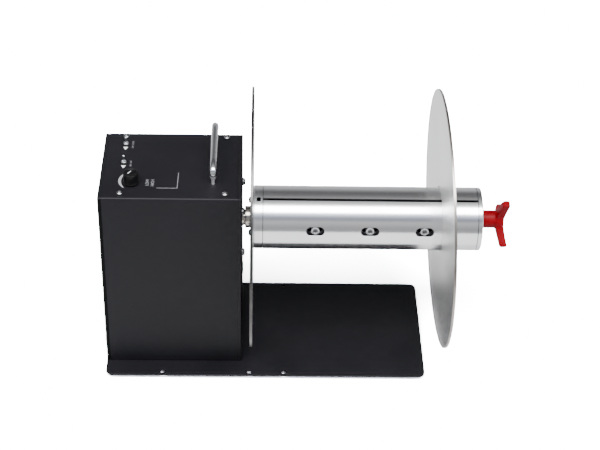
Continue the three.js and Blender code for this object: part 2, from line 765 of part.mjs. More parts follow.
// Shaft, collar, inner disc with its screws, rear hub with its set screw, and end ring
function addSpindle() {
  const tail = gearboxFace - shaftTailLength;
  const tubeStart = rearHubLength + seatGap;
  const tubeEnd = mandrelEnd - seatGap;
  const boreFloor = tubeEnd - tubeBoreLength;
  const shaft = turnedAlongX([
    [0, tail],
    [shaftRadius, tail],
    [shaftRadius, tubeStart],
    [tubeRadius, tubeStart],
    [tubeRadius, tubeEnd],
    [tubeBoreRadius, tubeEnd],
    [tubeBoreRadius, boreFloor],
    [0, boreFloor],
  ]);
  const keyReachAlong = keyLength / 2 + keyClearance;
  const slotSpan = [keyPlace - keyReachAlong, keyPlace + keyReachAlong + wedgeTravel];
  const half = keyWidth / 2 + keyClearance;
  const keySlot = block(slotSpan, [-tubeRadius - overrun, tubeRadius + overrun], [-half, half]);
  place("spindle_shaft", cut(shaft, keySlot), steel, spindle);

  const collarEnd = -discThickness - seatGap;
  const collarSpan = [collarEnd - collarLength, collarEnd];
  const collar = cut(
    turnedAlongX([
      [0, collarSpan[0]],
      [collarRadius - collarChamfer, collarSpan[0]],
      [collarRadius, collarSpan[0] + collarChamfer],
      [collarRadius, collarSpan[1] - collarChamfer],
      [collarRadius - collarChamfer, collarSpan[1]],
      [0, collarSpan[1]],
    ]),
    rodAlongX(shaftRadius + screwGap, [collarSpan[0] - overrun, collarSpan[1] + overrun]),
  );
  place("shaft_collar", collar, steel, spindle);

  const discScrewPlaces = Array.from({ length: discScrewCount }, (_, i) => {
    const turn = radians(discScrewAngle + (360 * i) / discScrewCount);
    return [discScrewCircle * Math.cos(turn), discScrewCircle * Math.sin(turn)];
  });
  const disc = cut(
    rodAlongX(discRadius, [-discThickness, 0], [0, 0], discSteps),
    rodAlongX(shaftRadius + screwGap, [-discThickness - overrun, overrun]),
    ...discScrewPlaces.map((at) =>
      rodAlongX(discScrewRadius + screwGap, [-discThickness - overrun, overrun], at, smallSteps),
    ),
  );
  place("inner_flange_disc", disc, satinAluminium, spindle);
  const discScrew = panScrew(discScrewRadius, discThickness + discScrewReach).rotateY(-Math.PI / 2);
  discScrewPlaces.forEach(([y, z], i) => {
    const mesh = place(`flange_screw_${i + 1}`, discScrew, zinc, spindle);
    mesh.position.set(-discThickness - seatGap, y, z);
  });

  const setScrewX = (seatGap + rearHubLength) / 2;
  const hubBody = turnedAlongX(
    [
      [0, seatGap],
      [mandrelRadius - edgeChamfer, seatGap],
      [mandrelRadius, seatGap + edgeChamfer],
      [mandrelRadius, rearHubLength - edgeChamfer / 2],
      [mandrelRadius - edgeChamfer / 2, rearHubLength],
      [0, rearHubLength],
    ],
    shellSteps,
  );
  const holeSpan = [0, mandrelRadius + overrun];
  const radialHole = rodAlongY(setScrewRadius + screwGap, holeSpan, [setScrewX, 0], smallSteps);
  const hub = cut(
    hubBody,
    rodAlongX(shaftRadius + screwGap, [-overrun, rearHubLength + overrun]),
    radialHole.rotateX(radians(slitAngle)),
    ...discScrewPlaces.map((at) =>
      rodAlongX(discScrewRadius + screwGap, [-overrun, discScrewReach + overrun], at, smallSteps),
    ),
  );
  place("rear_hub", hub, aluminium, spindle);

  const setScrewInner = shaftRadius + seatGap;
  const socketSpan = [setScrewOuter - setScrewSocketDepth, setScrewOuter + overrun];
  const setScrew = cut(
    rodAlongY(setScrewRadius, [setScrewInner, setScrewOuter], [setScrewX, 0], smallSteps),
    rodAlongY(setScrewSocketRadius, socketSpan, [setScrewX, 0], hexSides),
  );
  place("hub_set_screw", setScrew, zinc, turnedGroup(slitAngle));

  const ring = cut(
    turnedAlongX(
      [
        [0, endRingStart],
        [mandrelRadius - edgeChamfer / 2, endRingStart],
        [mandrelRadius, endRingStart + edgeChamfer / 2],
        [mandrelRadius, mandrelEnd - edgeChamfer],
        [mandrelRadius - edgeChamfer, mandrelEnd],
        [0, mandrelEnd],
      ],
      shellSteps,
    ),
    rodAlongX(tubeRadius + slideGap, [endRingStart - overrun, mandrelEnd + overrun]),
  );
  place("mandrel_end_ring", ring, aluminium, spindle);
}

// A three-sided ramp along X that narrows towards the lock knob, with one flat square to +Y
function ramp(centre, apothem) {
  const fall = (wedgeSlope * landLength) / 2;
  const narrow = 2 * (apothem - fall);
  const wide = 2 * (apothem + fall);
  const solid = new THREE.CylinderGeometry(narrow, wide, landLength, shellCount, 1, false, Math.PI / 2);
  return solid.rotateZ(-Math.PI / 2).translate(centre, 0, 0);
}

// A slot with round ends, cut outwards along Y from one height to another
function roundSlot(centre, length, width, [y0, y1]) {
  const radius = width / 2;
  const reach = length / 2 - radius;
  const shape = new THREE.Shape();
  shape.moveTo(centre - reach, -radius);
  shape.lineTo(centre + reach, -radius);
  shape.absarc(centre + reach, 0, radius, -Math.PI / 2, Math.PI / 2);
  shape.lineTo(centre - reach, radius);
  shape.absarc(centre - reach, 0, radius, Math.PI / 2, Math.PI * 1.5);
  return sideways(raised(shape, [y0, y1], smallSteps / 2));
}

// Three shells that slide outwards, each with three pads on the ramps and three slots
function addShells() {
  const span = [shellStart, shellEnd];
  const wide = [shellStart - overrun, shellEnd + overrun];
  const tube = cut(
    rodAlongX(mandrelRadius, span, [0, 0], shellSteps),
    rodAlongX(shellBoreRadius, wide, [0, 0], shellSteps / 2),
  );
  const pads = guideScrewPlaces.map((centre) => {
    const land = [centre - landLength / 2, centre + landLength / 2];
    return cut(rodAlongX(padRadius, land, [0, 0], shellSteps / 2), ramp(centre, landApothem + slideGap));
  });
  const halfTurn = Math.PI / shellCount;
  const apex = slitWidth / 2 / Math.sin(halfTurn);
  const reach = mandrelRadius * sectorReachShare;
  const sector = outline([
    [apex, 0],
    [apex + reach * Math.cos(halfTurn), reach * Math.sin(halfTurn)],
    [apex + reach * Math.cos(halfTurn), -reach * Math.sin(halfTurn)],
  ]);
  const slots = guideScrewPlaces.flatMap((centre) => [
    roundSlot(centre, slotLength, slotWidth, [slotLedge, mandrelRadius + overrun]),
    roundSlot(centre, ledgeSlotLength, ledgeSlotWidth, [landApothem - coreRadius, slotLedge + overrun]),
  ]);
  const shell = cut(common(joined(tube, ...pads), alongX(sector, wide)), ...slots);
  for (let i = 0; i < shellCount; i += 1) {
    place(`mandrel_shell_${i + 1}`, shell, aluminium, turnedGroup(shellAngle - (360 * i) / shellCount));
  }
}

// Wedge core on the tube, its nine guide screws, and the key that the draw screw pulls
function addWedge() {
  const span = [shellStart + coreInset, shellEnd - coreInset];
  const lands = guideScrewPlaces.map((centre) => {
    const land = [centre - landLength, centre + landLength];
    return common(ramp(centre, landApothem), rodAlongX(landTrimRadius, land, [0, 0], shellSteps / 2));
  });
  const screwHoles = guideScrewPlaces.flatMap((centre) =>
    Array.from({ length: shellCount }, (_, i) =>
      rodAlongY(
        guideShankRadius + screwGap,
        [shaftRadius, landTrimRadius + overrun],
        [centre, 0],
        smallSteps,
      ).rotateX(radians((360 * i) / shellCount)),
    ),
  );
  const bore = rodAlongX(tubeRadius + slideGap, [span[0] - overrun, span[1] + overrun]);
  const body = cut(joined(rodAlongX(coreRadius, span), ...lands), bore, ...screwHoles);
  const half = keyWidth / 2 + keyClearance;
  const windowSpan = [keyPlace - keyLength / 2 - keyClearance, keyPlace + keyLength / 2 + keyClearance];
  const keyWindow = block(windowSpan, [-coreRadius - overrun, coreRadius + overrun], [-half, half]);
  const unturned = cut(body, keyWindow.rotateX(radians(-shellAngle)));
  place("wedge_core", unturned, aluminium, turnedGroup(shellAngle));

  const headTop = guideHeadSeat + guideHeadHeight;
  const screw = cut(
    turned(
      [
        [0, guideShankEnd],
        [guideShankRadius, guideShankEnd],
        [guideShankRadius, guideHeadSeat],
        [guideHeadRadius, guideHeadSeat],
        [guideHeadRadius, headTop],
        [0, headTop],
      ],
      smallSteps,
    ),
    rodAlongZ(guideSocketRadius, [headTop - guideSocketDepth, headTop + overrun], [0, 0], hexSides),
  ).rotateX(-Math.PI / 2);
  for (let i = 0; i < shellCount; i += 1) {
    const group = turnedGroup(shellAngle - (360 * i) / shellCount);
    guideScrewPlaces.forEach((centre, j) => {
      place(`guide_screw_${i + 1}_${j + 1}`, screw, zinc, group).position.x = centre;
    });
  }

  const nutSpan = [keyPlace - keyNutLength / 2, keyPlace + keyNutLength / 2];
  const barSpan = [keyPlace - keyLength / 2, keyPlace + keyLength / 2];
  const key = cut(
    joined(
      rodAlongX(keyNutRadius, nutSpan),
      block(barSpan, [-keyReach, keyReach], [-keyWidth / 2, keyWidth / 2]),
    ),
    rodAlongX(drawScrewRadius + screwGap, [nutSpan[0] - overrun, nutSpan[1] + overrun]),
  );
  place("draw_key", key, steel, spindle);
}

// Draw screw and the three-armed knob on its end
function addLock() {
  const screwStart = mandrelEnd - tubeBoreLength + drawScrewInset;
  const screwEnd = knobStart + knobBoreDepth - slideGap;
  place("draw_screw", rodAlongX(drawScrewRadius, [screwStart, screwEnd]), steel, spindle);

  const hubEnd = knobStart + knobHubLength;
  const faceEnd = knobStart + knobFaceReach;
  const hub = turnedAlongX([
    [0, knobStart],
    [knobHubRadius - edgeChamfer, knobStart],
    [knobHubRadius, knobStart + edgeChamfer],
    [knobHubRadius, hubEnd],
    [knobRootWidth / 2, faceEnd],
    [0, faceEnd],
  ]);
  const armBack = faceEnd - knobArmThickness;
  const tipBack = armBack + knobArmRise + knobArmThickness - knobTipThickness;
  const rootReach = knobHubRadius * knobRootShare;
  const sideView = outline([
    [armBack, 0],
    [armBack, rootReach],
    [tipBack, knobTipRadius],
    [tipBack + knobTipThickness, knobTipRadius - edgeChamfer * 2],
    [faceEnd, rootReach],
    [faceEnd, 0],
  ]);
  const width = [-knobRootWidth, knobRootWidth];
  const armSide = raised(sideView, width);
  const tipHalf = knobTipWidth / 2;
  const frontView = new THREE.Shape();
  frontView.moveTo(0, -knobRootWidth / 2);
  frontView.lineTo(knobTipRadius - knobTipRounding, -tipHalf);
  frontView.quadraticCurveTo(knobTipRadius, -tipHalf, knobTipRadius, -tipHalf + knobTipRounding);
  frontView.lineTo(knobTipRadius, tipHalf - knobTipRounding);
  frontView.quadraticCurveTo(knobTipRadius, tipHalf, knobTipRadius - knobTipRounding, tipHalf);
  frontView.lineTo(0, knobRootWidth / 2);
  const armFront = alongX(frontView, [armBack - overrun, faceEnd + knobArmRise + overrun]);
  const arm = common(armSide, armFront);
  const arms = Array.from({ length: knobArmCount }, (_, i) =>
    arm.clone().rotateX(radians(knobArmAngle + (360 * i) / knobArmCount)),
  );
  const bore = rodAlongX(drawScrewRadius + screwGap, [knobStart - overrun, knobStart + knobBoreDepth]);
  place("lock_knob", cut(joined(hub, ...arms), bore), redPlastic, spindle);
}

// Outer flange disc
function addOuterFlange() {
  const lean = new THREE.Vector3(1, Math.tan(radians(outerDiscLeanBack)), Math.tan(radians(outerDiscLeanUp)));
  const group = new THREE.Group();
  group.position.x = outerDiscPlace;
  group.quaternion.setFromUnitVectors(new THREE.Vector3(1, 0, 0), lean.normalize());
  spindle.add(group);
  const disc = cut(
    rodAlongX(discRadius, [0, discThickness], [0, 0], discSteps),
    rodAlongX(outerDiscBore, [-overrun, discThickness + overrun], [0, 0], shellSteps),
  );
  place("outer_flange_disc", disc, satinAluminium, group);
}

// Control board on its posts, power inlet and blanking plug
function addElectrics() {
  const boardX = leftInner + boardGap;
  const middle = (housingFront + housingBack) / 2;
  const depth = [middle - boardWidth / 2, middle + boardWidth / 2];
  const rise = [boardBottom, boardBottom + boardHeight];
  const face = boardX + boardThickness;
  const sheet = block([boardX, face], depth, rise);
  const posts = [depth[0] + boardPostInset, depth[1] - boardPostInset].flatMap((y) =>
    [rise[0] + boardPostInset, rise[1] - boardPostInset].map((z) =>
      rodAlongX(boardPostRadius, [leftInner + seatGap, face + boardThickness], [y, z], smallSteps),
    ),
  );
  const parts = boardPartShares.map(([y, z, width, height, tall]) =>
    block(
      [boardX + boardThickness / 2, face + boardPartHeight * tall],
      [depth[0] + boardWidth * y, depth[0] + boardWidth * (y + width)],
      [rise[0] + boardHeight * z, rise[0] + boardHeight * (z + height)],
    ),
  );
  place("control_board", joined(sheet, ...posts, ...parts), boardGreen);

  const inlet = joined(
    cut(
      turnedAlongX([
        [0, -inletFlangeReach],
        [inletFlangeRadius, -inletFlangeReach],
        [inletFlangeRadius, 0],
        [inletRadius, 0],
        [inletRadius, inletLength],
        [0, inletLength],
      ]),
      rodAlongX(inletBoreRadius, [-inletFlangeReach - overrun, inletBoreDepth]),
    ),
    rodAlongX(inletPinRadius, [0, inletBoreDepth + overrun], [0, 0], smallSteps),
  );
  const inletMesh = place("power_inlet", inlet, blackPlastic);
  inletMesh.position.set(housingLeft - seatGap, housingFront + inletFront, inletHeight);

  const plug = turnedAlongX([
    [0, -plugStemLength],
    [plugStemRadius, -plugStemLength],
    [plugStemRadius, 0],
    [plugRadius, 0],
    [plugRadius - plugReach / 2, plugReach],
    [0, plugReach],
  ]);
  place("hole_plug", plug, blackPlastic).position.set(wallOuter + seatGap, 0, spindleHeight - plugDrop);
}

addBase();
addChassis();
addCover();
addHandle();
addToggles();
addTorqueControl();
addDrive();
addElectrics();
addSpindle();
addShells();
addWedge();
addLock();
addOuterFlange();

// The origin is the middle of the footprint, on the surface that the feet stand on
rewinder.updateMatrixWorld(true);
const bounds = new THREE.Box3().setFromObject(rewinder);
const middle = bounds.getCenter(new THREE.Vector3());
rewinder.position.set(-middle.x, -middle.y, -bounds.min.z);
rewinder.updateMatrixWorld(true);

export default rewinder;
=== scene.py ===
# %% [markdown]
# # A label rewinder, dressed for the camera
#
# A label rewinder winds a web of labels onto a cardboard core. A geared motor in a black steel
# housing turns an expanding aluminium mandrel, and two thin discs keep the roll's sides straight.
# The measured model of every piece is already there: this script loads it as a fixed frame and
# gives each visible piece its smooth surface, its small radii and its finish.

# %% Load the measured frame
import json
import math

import bmesh
import bpy
import numpy as np
from mathutils import Matrix, Vector


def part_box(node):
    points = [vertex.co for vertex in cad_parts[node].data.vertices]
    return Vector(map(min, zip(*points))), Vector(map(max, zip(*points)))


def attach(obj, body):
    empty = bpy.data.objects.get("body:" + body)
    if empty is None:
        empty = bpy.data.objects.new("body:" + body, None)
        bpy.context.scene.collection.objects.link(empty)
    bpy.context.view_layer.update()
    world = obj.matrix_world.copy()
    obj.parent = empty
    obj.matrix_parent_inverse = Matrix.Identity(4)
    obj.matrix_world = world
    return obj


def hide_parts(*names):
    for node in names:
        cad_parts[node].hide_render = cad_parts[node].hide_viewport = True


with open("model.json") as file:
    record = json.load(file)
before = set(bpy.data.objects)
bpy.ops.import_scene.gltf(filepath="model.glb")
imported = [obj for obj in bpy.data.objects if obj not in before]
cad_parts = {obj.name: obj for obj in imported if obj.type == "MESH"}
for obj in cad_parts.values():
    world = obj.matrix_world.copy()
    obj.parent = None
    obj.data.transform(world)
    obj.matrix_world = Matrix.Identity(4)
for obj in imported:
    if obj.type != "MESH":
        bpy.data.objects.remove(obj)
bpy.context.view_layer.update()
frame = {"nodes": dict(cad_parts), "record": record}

MM = 0.001
body_of = {node: body for body, nodes in frame["record"]["behaviour"]["bodies"].items() for node in nodes}
slot_of = {entry["node"]: entry["material_slot"] for entry in frame["record"]["subparts"]}

# %% [markdown]
# ## The camera first
#
# A product photo is taken from some distance with a long lens, so that parallel edges stay nearly
# parallel. The camera here stands in front of the rewinder and a little over it. Its place was
# worked out from the outline of the real machine, so everything that follows can be compared with
# the photo directly. It is built from three angles: yaw turns it about the vertical, pitch tilts it
# down, and roll turns it about its own line of sight.

# %% Set up the camera
CAMERA_PLACE = Vector((-53.8, -1503.73, 1330.8)) * MM
CAMERA_YAW, CAMERA_PITCH, CAMERA_ROLL = 0.031737, 0.657016, 0.029379
SENSOR_WIDTH = 36.0
LENS = 96.32


def in_scene(name, data):
    """A new object at the origin, linked to the scene."""
    piece = bpy.data.objects.new(name, data)
    bpy.context.scene.collection.objects.link(piece)
    return piece


camera_data = bpy.data.cameras.new("camera")
camera_data.sensor_width = SENSOR_WIDTH
camera_data.sensor_fit = "HORIZONTAL"
camera_data.lens = LENS
camera = in_scene("camera", camera_data)
yaw, pitch, roll = (Matrix.Rotation(angle, 4, axis) for angle, axis in (
    (-CAMERA_YAW, "Z"), (math.pi / 2 - CAMERA_PITCH, "X"), (CAMERA_ROLL, "Z")))
camera.matrix_world = Matrix.Translation(CAMERA_PLACE) @ yaw @ pitch @ roll
bpy.context.scene.camera = camera
print("camera", [round(v, 3) for v in CAMERA_PLACE], "lens", LENS)

# %% [markdown]
# ## How the pieces are made
#
# Nearly every piece of a machine like this is turned, bent or extruded, so its surface is a function
# of two numbers: how far round, and how far along its profile. Two helpers are enough for that. The
# first makes the quads between the points of a grid. The second puts one or more grids into a mesh,
# joins the points that fall together, turns all faces outwards and marks the hard edges.

# %% From grids of points to one closed mesh
WELD = 0.00001


def grid_quads(rows, columns, round_rows, round_columns, start=0):
    """Quads between neighbouring rows and columns. A round direction joins its last line to its first."""
    row = np.arange(rows if round_rows else rows - 1)[:, None]
    column = np.arange(columns if round_columns else columns - 1)[None, :]
    next_row, next_column = (row + 1) % rows, (column + 1) % columns
    corners = (row * columns + column, row * columns + next_column,
               next_row * columns + next_column, next_row * columns + column)
    return np.stack(np.broadcast_arrays(*corners), -1).reshape(-1, 4) + start


def cleaned(mesh, sharp_degrees=28.0, reach=WELD / 2, slivers=False):
    """Joins doubled points, takes out slivers if asked, turns the faces outwards and marks hard edges."""
    build = bmesh.new()
    build.from_mesh(mesh)
    bmesh.ops.remove_doubles(build, verts=build.verts, dist=reach)
    if slivers:
        bmesh.ops.dissolve_degenerate(build, edges=build.edges, dist=reach)
    bmesh.ops.recalc_face_normals(build, faces=build.faces)
    build.to_mesh(mesh)
    build.free()
    mesh.shade_smooth()
    mesh.set_sharp_from_angle(angle=math.radians(sharp_degrees))
    return mesh


def mesh_from_grids(name, grids, sharp_degrees=28.0):
    """One mesh from grids of points in metres. Each is (points, round_rows, round_columns), or only
    the points where the columns go round and the rows don't."""
    points, quads, start = [], [], 0
    for grid in grids:
        grid, round_rows, round_columns = grid if isinstance(grid, tuple) else (grid, False, True)
        rows, columns = grid.shape[:2]
        points.append(grid.reshape(-1, 3))
        quads.append(grid_quads(rows, columns, round_rows, round_columns, start))
        start += rows * columns
    mesh = bpy.data.meshes.new(name)
    mesh.from_pydata(np.concatenate(points), [], np.concatenate(quads))
    return cleaned(mesh, sharp_degrees, WELD, slivers=True)


print("a tube of 3 rings with 4 points each has", len(grid_quads(3, 4, False, True)), "quads")

# %% [markdown]
# ## Turned surfaces and soft corners
#
# A lathe makes a turned piece by carrying a profile round an axis. A profile is written here as
# (radius, place) pairs in millimetres. Real edges are never quite sharp, and the thin bright line of
# a small radius is what makes metal look like metal, so `softened` rounds each corner of a profile.
# The same function turns hexagons: `six` pulls a ring from a circle towards a hexagon.

# %% Turned pieces
AXES = {
    "x": np.array([[0, 1, 0], [0, 0, 1], [1, 0, 0]], float),
    "-x": np.array([[0, -1, 0], [0, 0, 1], [-1, 0, 0]], float),
    "z": np.array([[1, 0, 0], [0, 1, 0], [0, 0, 1]], float),
}
LONGEST_BEND, BEND_POINTS = 0.45, 4


def bend(start, corner, end, t):
    """A soft bend from start to end that aims at the corner: (1 - t)^2, 2t(1 - t) and t^2 of the three."""
    return (1 - t) ** 2 * start + 2 * t * (1 - t) * corner + t ** 2 * end


def softened(corners, radius):
    """The same polyline with each inner corner replaced by a bend that starts `radius` before it, or
    at LONGEST_BEND of the shorter side where that is less."""
    points = np.asarray(corners, float)
    before, corner, after = points[:-2], points[1:-1], points[2:]
    to_before, to_after = before - corner, after - corner
    back, ahead = np.linalg.norm(to_before, axis=1), np.linalg.norm(to_after, axis=1)
    reach = np.minimum(radius, LONGEST_BEND * np.minimum(back, ahead))[:, None]
    enter = corner + to_before / back[:, None] * reach
    leave = corner + to_after / ahead[:, None] * reach
    bends = bend(enter[:, None], corner[:, None], leave[:, None], np.linspace(0, 1, BEND_POINTS)[:, None])
    return np.concatenate([points[:1], bends.reshape(-1, 2), points[-1:]])


def ring_of(corners, radius):
    """A softened profile that closes on itself, for a piece with a hole through it."""
    loop = np.asarray(list(corners) + [corners[0], corners[1]], float)
    start = (loop[0] + loop[1]) / 2
    return softened(np.concatenate([[start], loop[1:-1], [start]]), radius)


def turned(profile, centre, axis="x", steps=96, six=None):
    """Points at radius r and place h of the profile, at each angle round the axis through `centre`.
    `six` gives each profile point a share between a circle, 0, and a hexagon across its flats, 1."""
    profile = np.asarray(profile, float)
    angle = np.linspace(0, 2 * np.pi, steps, endpoint=False)[None, :]
    radius, place = profile[:, :1], profile[:, 1:2]
    if six is not None:
        share = np.asarray(six, float)[:, None]
        sector = np.pi / 3
        flat = 1 / np.cos((angle + sector / 2) % sector - sector / 2)
        radius = radius * (1 + share * (flat - 1))
    local = np.stack([radius * np.cos(angle), radius * np.sin(angle), place + 0 * angle], -1)
    return (local @ AXES[axis]) * MM + np.asarray(centre, float)


print("a softened square has", len(ring_of([(1, 0), (2, 0), (2, 1), (1, 1)], 0.2)), "profile points")

# %% [markdown]
# ## Finishes
#
# Each finish is a small node network on the piece's own coordinates, in metres, so a scale of 1000
# gives a pattern about a millimetre across. The black paint is a powder coat: a fine orange-peel
# bump under a satin sheen. Sheet aluminium shows faint rolling lines and cloudy patches, turned
# aluminium shows fine rings, and the chrome is almost a mirror.

# %% A small kit for materials
MICRON = 0.000001
GRAIN_STRENGTH, TOOL_MARK_STRENGTH = 0.6, 0.5


def feed(tree, node, inputs):
    """Sets a node's inputs: a socket is joined to them, and a value is set directly on them."""
    for name, value in inputs.items():
        if isinstance(value, bpy.types.NodeSocket):
            tree.links.new(value, node.inputs[name])
        else:
            node.inputs[name].default_value = value
    return node


def add_node(tree, kind, **inputs):
    """A new shader node with these inputs."""
    return feed(tree, tree.nodes.new("ShaderNode" + kind), inputs)


def noise(tree, where, scale, detail, stretch=(1, 1, 1)):
    """Cloudy noise with `scale` cells to the metre, stretched along the axes with small factors."""
    mapping = add_node(tree, "Mapping", Vector=where, Scale=stretch)
    return add_node(tree, "TexNoise", Vector=mapping.outputs["Vector"], Scale=scale, Detail=detail).outputs["Fac"]


def between(tree, factor, low, high, start=0.3, end=0.7):
    """A colour or a number that runs from `low` to `high` while the factor goes from start to end."""
    ramp = add_node(tree, "ValToRGB", Fac=factor)
    for stop, place, value in zip(ramp.color_ramp.elements, (start, end), (low, high)):
        stop.position = place
        stop.color = (*value, 1) if isinstance(value, tuple) else (value, value, value, 1)
    return ramp.outputs["Color"]


def new_finish(name, dark, light, rough, patch_scale, mark_scale, mark_height, stretch=None, specular=0.5):
    """Cloudy patches change the colour a little, and small marks give the relief. Without a stretch
    the marks are a grain and the patches change the roughness. With one it is bare metal, whose
    marks are drawn out by a tool, and they change the roughness."""
    material = bpy.data.materials.new(name)
    material.use_nodes = True
    tree = material.node_tree
    where = add_node(tree, "TexCoord").outputs["Object"]
    patches = noise(tree, where, patch_scale, 3.0)
    marks = noise(tree, where, mark_scale, 3.0, stretch) if stretch else noise(tree, where, mark_scale, 2.0)
    relief = add_node(tree, "Bump", Height=marks, Distance=mark_height * MICRON,
                      Strength=TOOL_MARK_STRENGTH if stretch else GRAIN_STRENGTH)
    feed(tree, tree.nodes["Principled BSDF"], {
        "Base Color": between(tree, patches, dark, light),
        "Roughness": between(tree, marks if stretch else patches, *rough),
        "Normal": relief.outputs["Normal"],
        "Metallic": 1.0 if stretch else 0.0,
        "Specular IOR Level": specular})
    return material


print("bump strength", GRAIN_STRENGTH, "for grain and", TOOL_MARK_STRENGTH, "for tool marks")

# %% The finishes: two colours, roughness, patches and marks to the metre, height of the marks in microns
ALONG_X, ROUND_X, UP = (0.02, 1, 1), (1, 0.03, 0.03), (1, 1, 0.03)
METALS = {
    "turned_aluminium": ((0.80, 0.81, 0.82), (0.88, 0.88, 0.89), (0.17, 0.20), 12, 1400, 0.6, ROUND_X),
    # painted shade: darker aluminium for the mandrel's slots, slit edges and chamfers, and for the screw sockets
    "painted_shade_aluminium": ((0.15, 0.15, 0.155), (0.20, 0.20, 0.205), (0.24, 0.32), 40, 900, 6, ALONG_X),
    "sheet_aluminium": ((0.76, 0.76, 0.75), (0.84, 0.84, 0.83), (0.18, 0.26), 9, 700, 6, UP),
    "satin_disc": ((0.76, 0.76, 0.75), (0.84, 0.84, 0.83), (0.32, 0.40), 9, 700, 6, UP),
    "dark_disc_rim": ((0.070, 0.068, 0.066), (0.10, 0.098, 0.095), (0.28, 0.34), 40, 900, 6, ROUND_X),
    "grey_disc_rim": ((0.30, 0.275, 0.25), (0.37, 0.34, 0.31), (0.26, 0.36), 40, 900, 6, ROUND_X),
    "chrome": ((0.72, 0.73, 0.75), (0.78, 0.79, 0.81), (0.06, 0.10), 60, 900, 2, UP),
    # rougher chrome for the handle's cones and necks; its colour, brighter than the bar's, is a painted highlight
    "frosted_chrome_and_painted_highlight": ((0.84, 0.85, 0.86), (0.90, 0.91, 0.92), (0.50, 0.58), 60, 900, 4, UP),
    "zinc_plate": ((0.52, 0.53, 0.54), (0.66, 0.67, 0.68), (0.24, 0.36), 160, 2000, 10, UP),
    "mid_zinc": ((0.30, 0.30, 0.31), (0.38, 0.38, 0.39), (0.12, 0.18), 160, 2000, 4, UP),
    "dull_zinc": ((0.15, 0.15, 0.16), (0.21, 0.21, 0.22), (0.26, 0.36), 160, 2000, 10, UP),
    # black oxide on the set screw, and painted shade inside the hub's screw hole and on the chamfers at the shells'
    # seams
    "black_oxide_and_painted_shade": ((0.010, 0.010, 0.011), (0.016, 0.016, 0.018), (0.4, 0.5), 160, 2000, 10, UP),
    "nickel": ((0.50, 0.46, 0.42), (0.62, 0.57, 0.52), (0.16, 0.28), 90, 1600, 5, ROUND_X),
    "motor_steel": ((0.30, 0.31, 0.33), (0.38, 0.39, 0.41), (0.34, 0.46), 40, 900, 10, ALONG_X),
}
PLAIN = {
    "black_powder_coat": ((0.0040, 0.0037, 0.0052), (0.0052, 0.0048, 0.0066), (0.46, 0.54), 14, 1500, 40, None, 0.19),
    # painted shade: the seam at the housing's left front corner
    "painted_shade_sheet_edge": ((0.0018, 0.0018, 0.002), (0.0024, 0.0024, 0.0027), (0.5, 0.6), 40, 1500, 40, None, 0.05),
    "black_moulded_plastic": ((0.0018, 0.0018, 0.002), (0.003, 0.003, 0.0033), (0.25, 0.35), 60, 2400, 20, None, 0.22),
    "red_moulded_plastic": ((0.14, 0.0003, 0.003), (0.18, 0.0004, 0.004), (0.36, 0.48), 70, 1600, 30, None, 0.08),
    # rubber of the feet; the same finish makes the dark floor quad under the plate, which is painted shade
    "foot_rubber_and_painted_shade": ((0.010, 0.010, 0.011), (0.018, 0.018, 0.019), (0.75, 0.9), 80, 1900, 60, None, 0.3),
    "board_lacquer": ((0.010, 0.070, 0.028), (0.014, 0.095, 0.040), (0.25, 0.4), 120, 2500, 20),
    "white_ink": ((0.62, 0.62, 0.62), (0.72, 0.72, 0.72), (0.5, 0.6), 200, 3000, 4),
    "grey_ink": ((0.16, 0.16, 0.17), (0.21, 0.21, 0.22), (0.5, 0.6), 200, 3000, 4),
    "crescent_grey": ((0.24, 0.24, 0.25), (0.29, 0.29, 0.30), (0.5, 0.6), 200, 3000, 4),
}
finish = {name: new_finish(name, *row) for name, row in (PLAIN | METALS).items()}
finish_of_slot = {slot: finish[name] for slot, name in {
    "black_paint": "black_powder_coat", "rubber": "foot_rubber_and_painted_shade", "chrome": "chrome", "zinc": "zinc_plate",
    "aluminium": "turned_aluminium", "satin_aluminium": "sheet_aluminium", "motor_steel": "motor_steel",
    "steel": "nickel", "red_plastic": "red_moulded_plastic", "black_plastic": "black_moulded_plastic",
    "circuit_board": "board_lacquer"}.items()}
for node, piece in frame["nodes"].items():
    piece.data.materials.clear()
    piece.data.materials.append(finish_of_slot[slot_of[node]])
print(len(finish), "finishes for", len(frame["nodes"]), "nodes")


# %% [markdown]
# ## Putting a fine piece in a node's place
#
# The measured solids have flat facets. A fine piece takes a node's place in the picture, rides on
# the same body and takes the same finish, and the solid stays behind for the physics. The helpers
# below do that for one node, for a turned one, and for a part that no node holds, such as a printed
# mark. A few pieces have some faces in a second finish.

# %% Helpers that place a piece
def add_piece(name, mesh, material, body="frame", slot="black_paint"):
    """Makes the mesh an object, gives it its finish and makes it ride on a body."""
    piece = in_scene(name, mesh)
    mesh.materials.clear()
    mesh.materials.append(material)
    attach(piece, body)
    return piece


def dress(node, *grids, material=None, sharp_degrees=28.0):
    """A fine piece made of these grids stands for the node."""
    slot = slot_of[node]
    mesh = mesh_from_grids(node + "_fine", grids, sharp_degrees)
    piece = add_piece(node + "_fine", mesh, material or finish_of_slot[slot], body_of[node], slot)
    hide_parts(node)
    return piece


def middle(node):
    """The centre of a node's box, in metres."""
    low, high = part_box(node)
    return np.array((low + high) / 2)


def span(node, axis=0):
    """Lowest and highest place of a node along one axis, in millimetres."""
    low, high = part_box(node)
    return low[axis] / MM, high[axis] / MM


def lathe(node, profile, axis="z", steps=48, six=None, base=0.0, at=None, more=(), **looks):
    """Dresses a node with a profile turned about an axis through its middle, or through the middle
    of the node `at`. Places along the axis count from `base`, in metres."""
    centre = middle(at or node)
    centre["xyz".index(axis[-1])] = base
    return dress(node, turned(profile, centre, axis, steps, six), *more, **looks)


def values(items, field, width=1, kind=float):
    """One field of all points, corners or faces, as an array."""
    found = np.zeros(len(items) * width, kind)
    items.foreach_get(field, found)
    return found.reshape(-1, width) if width > 1 else found


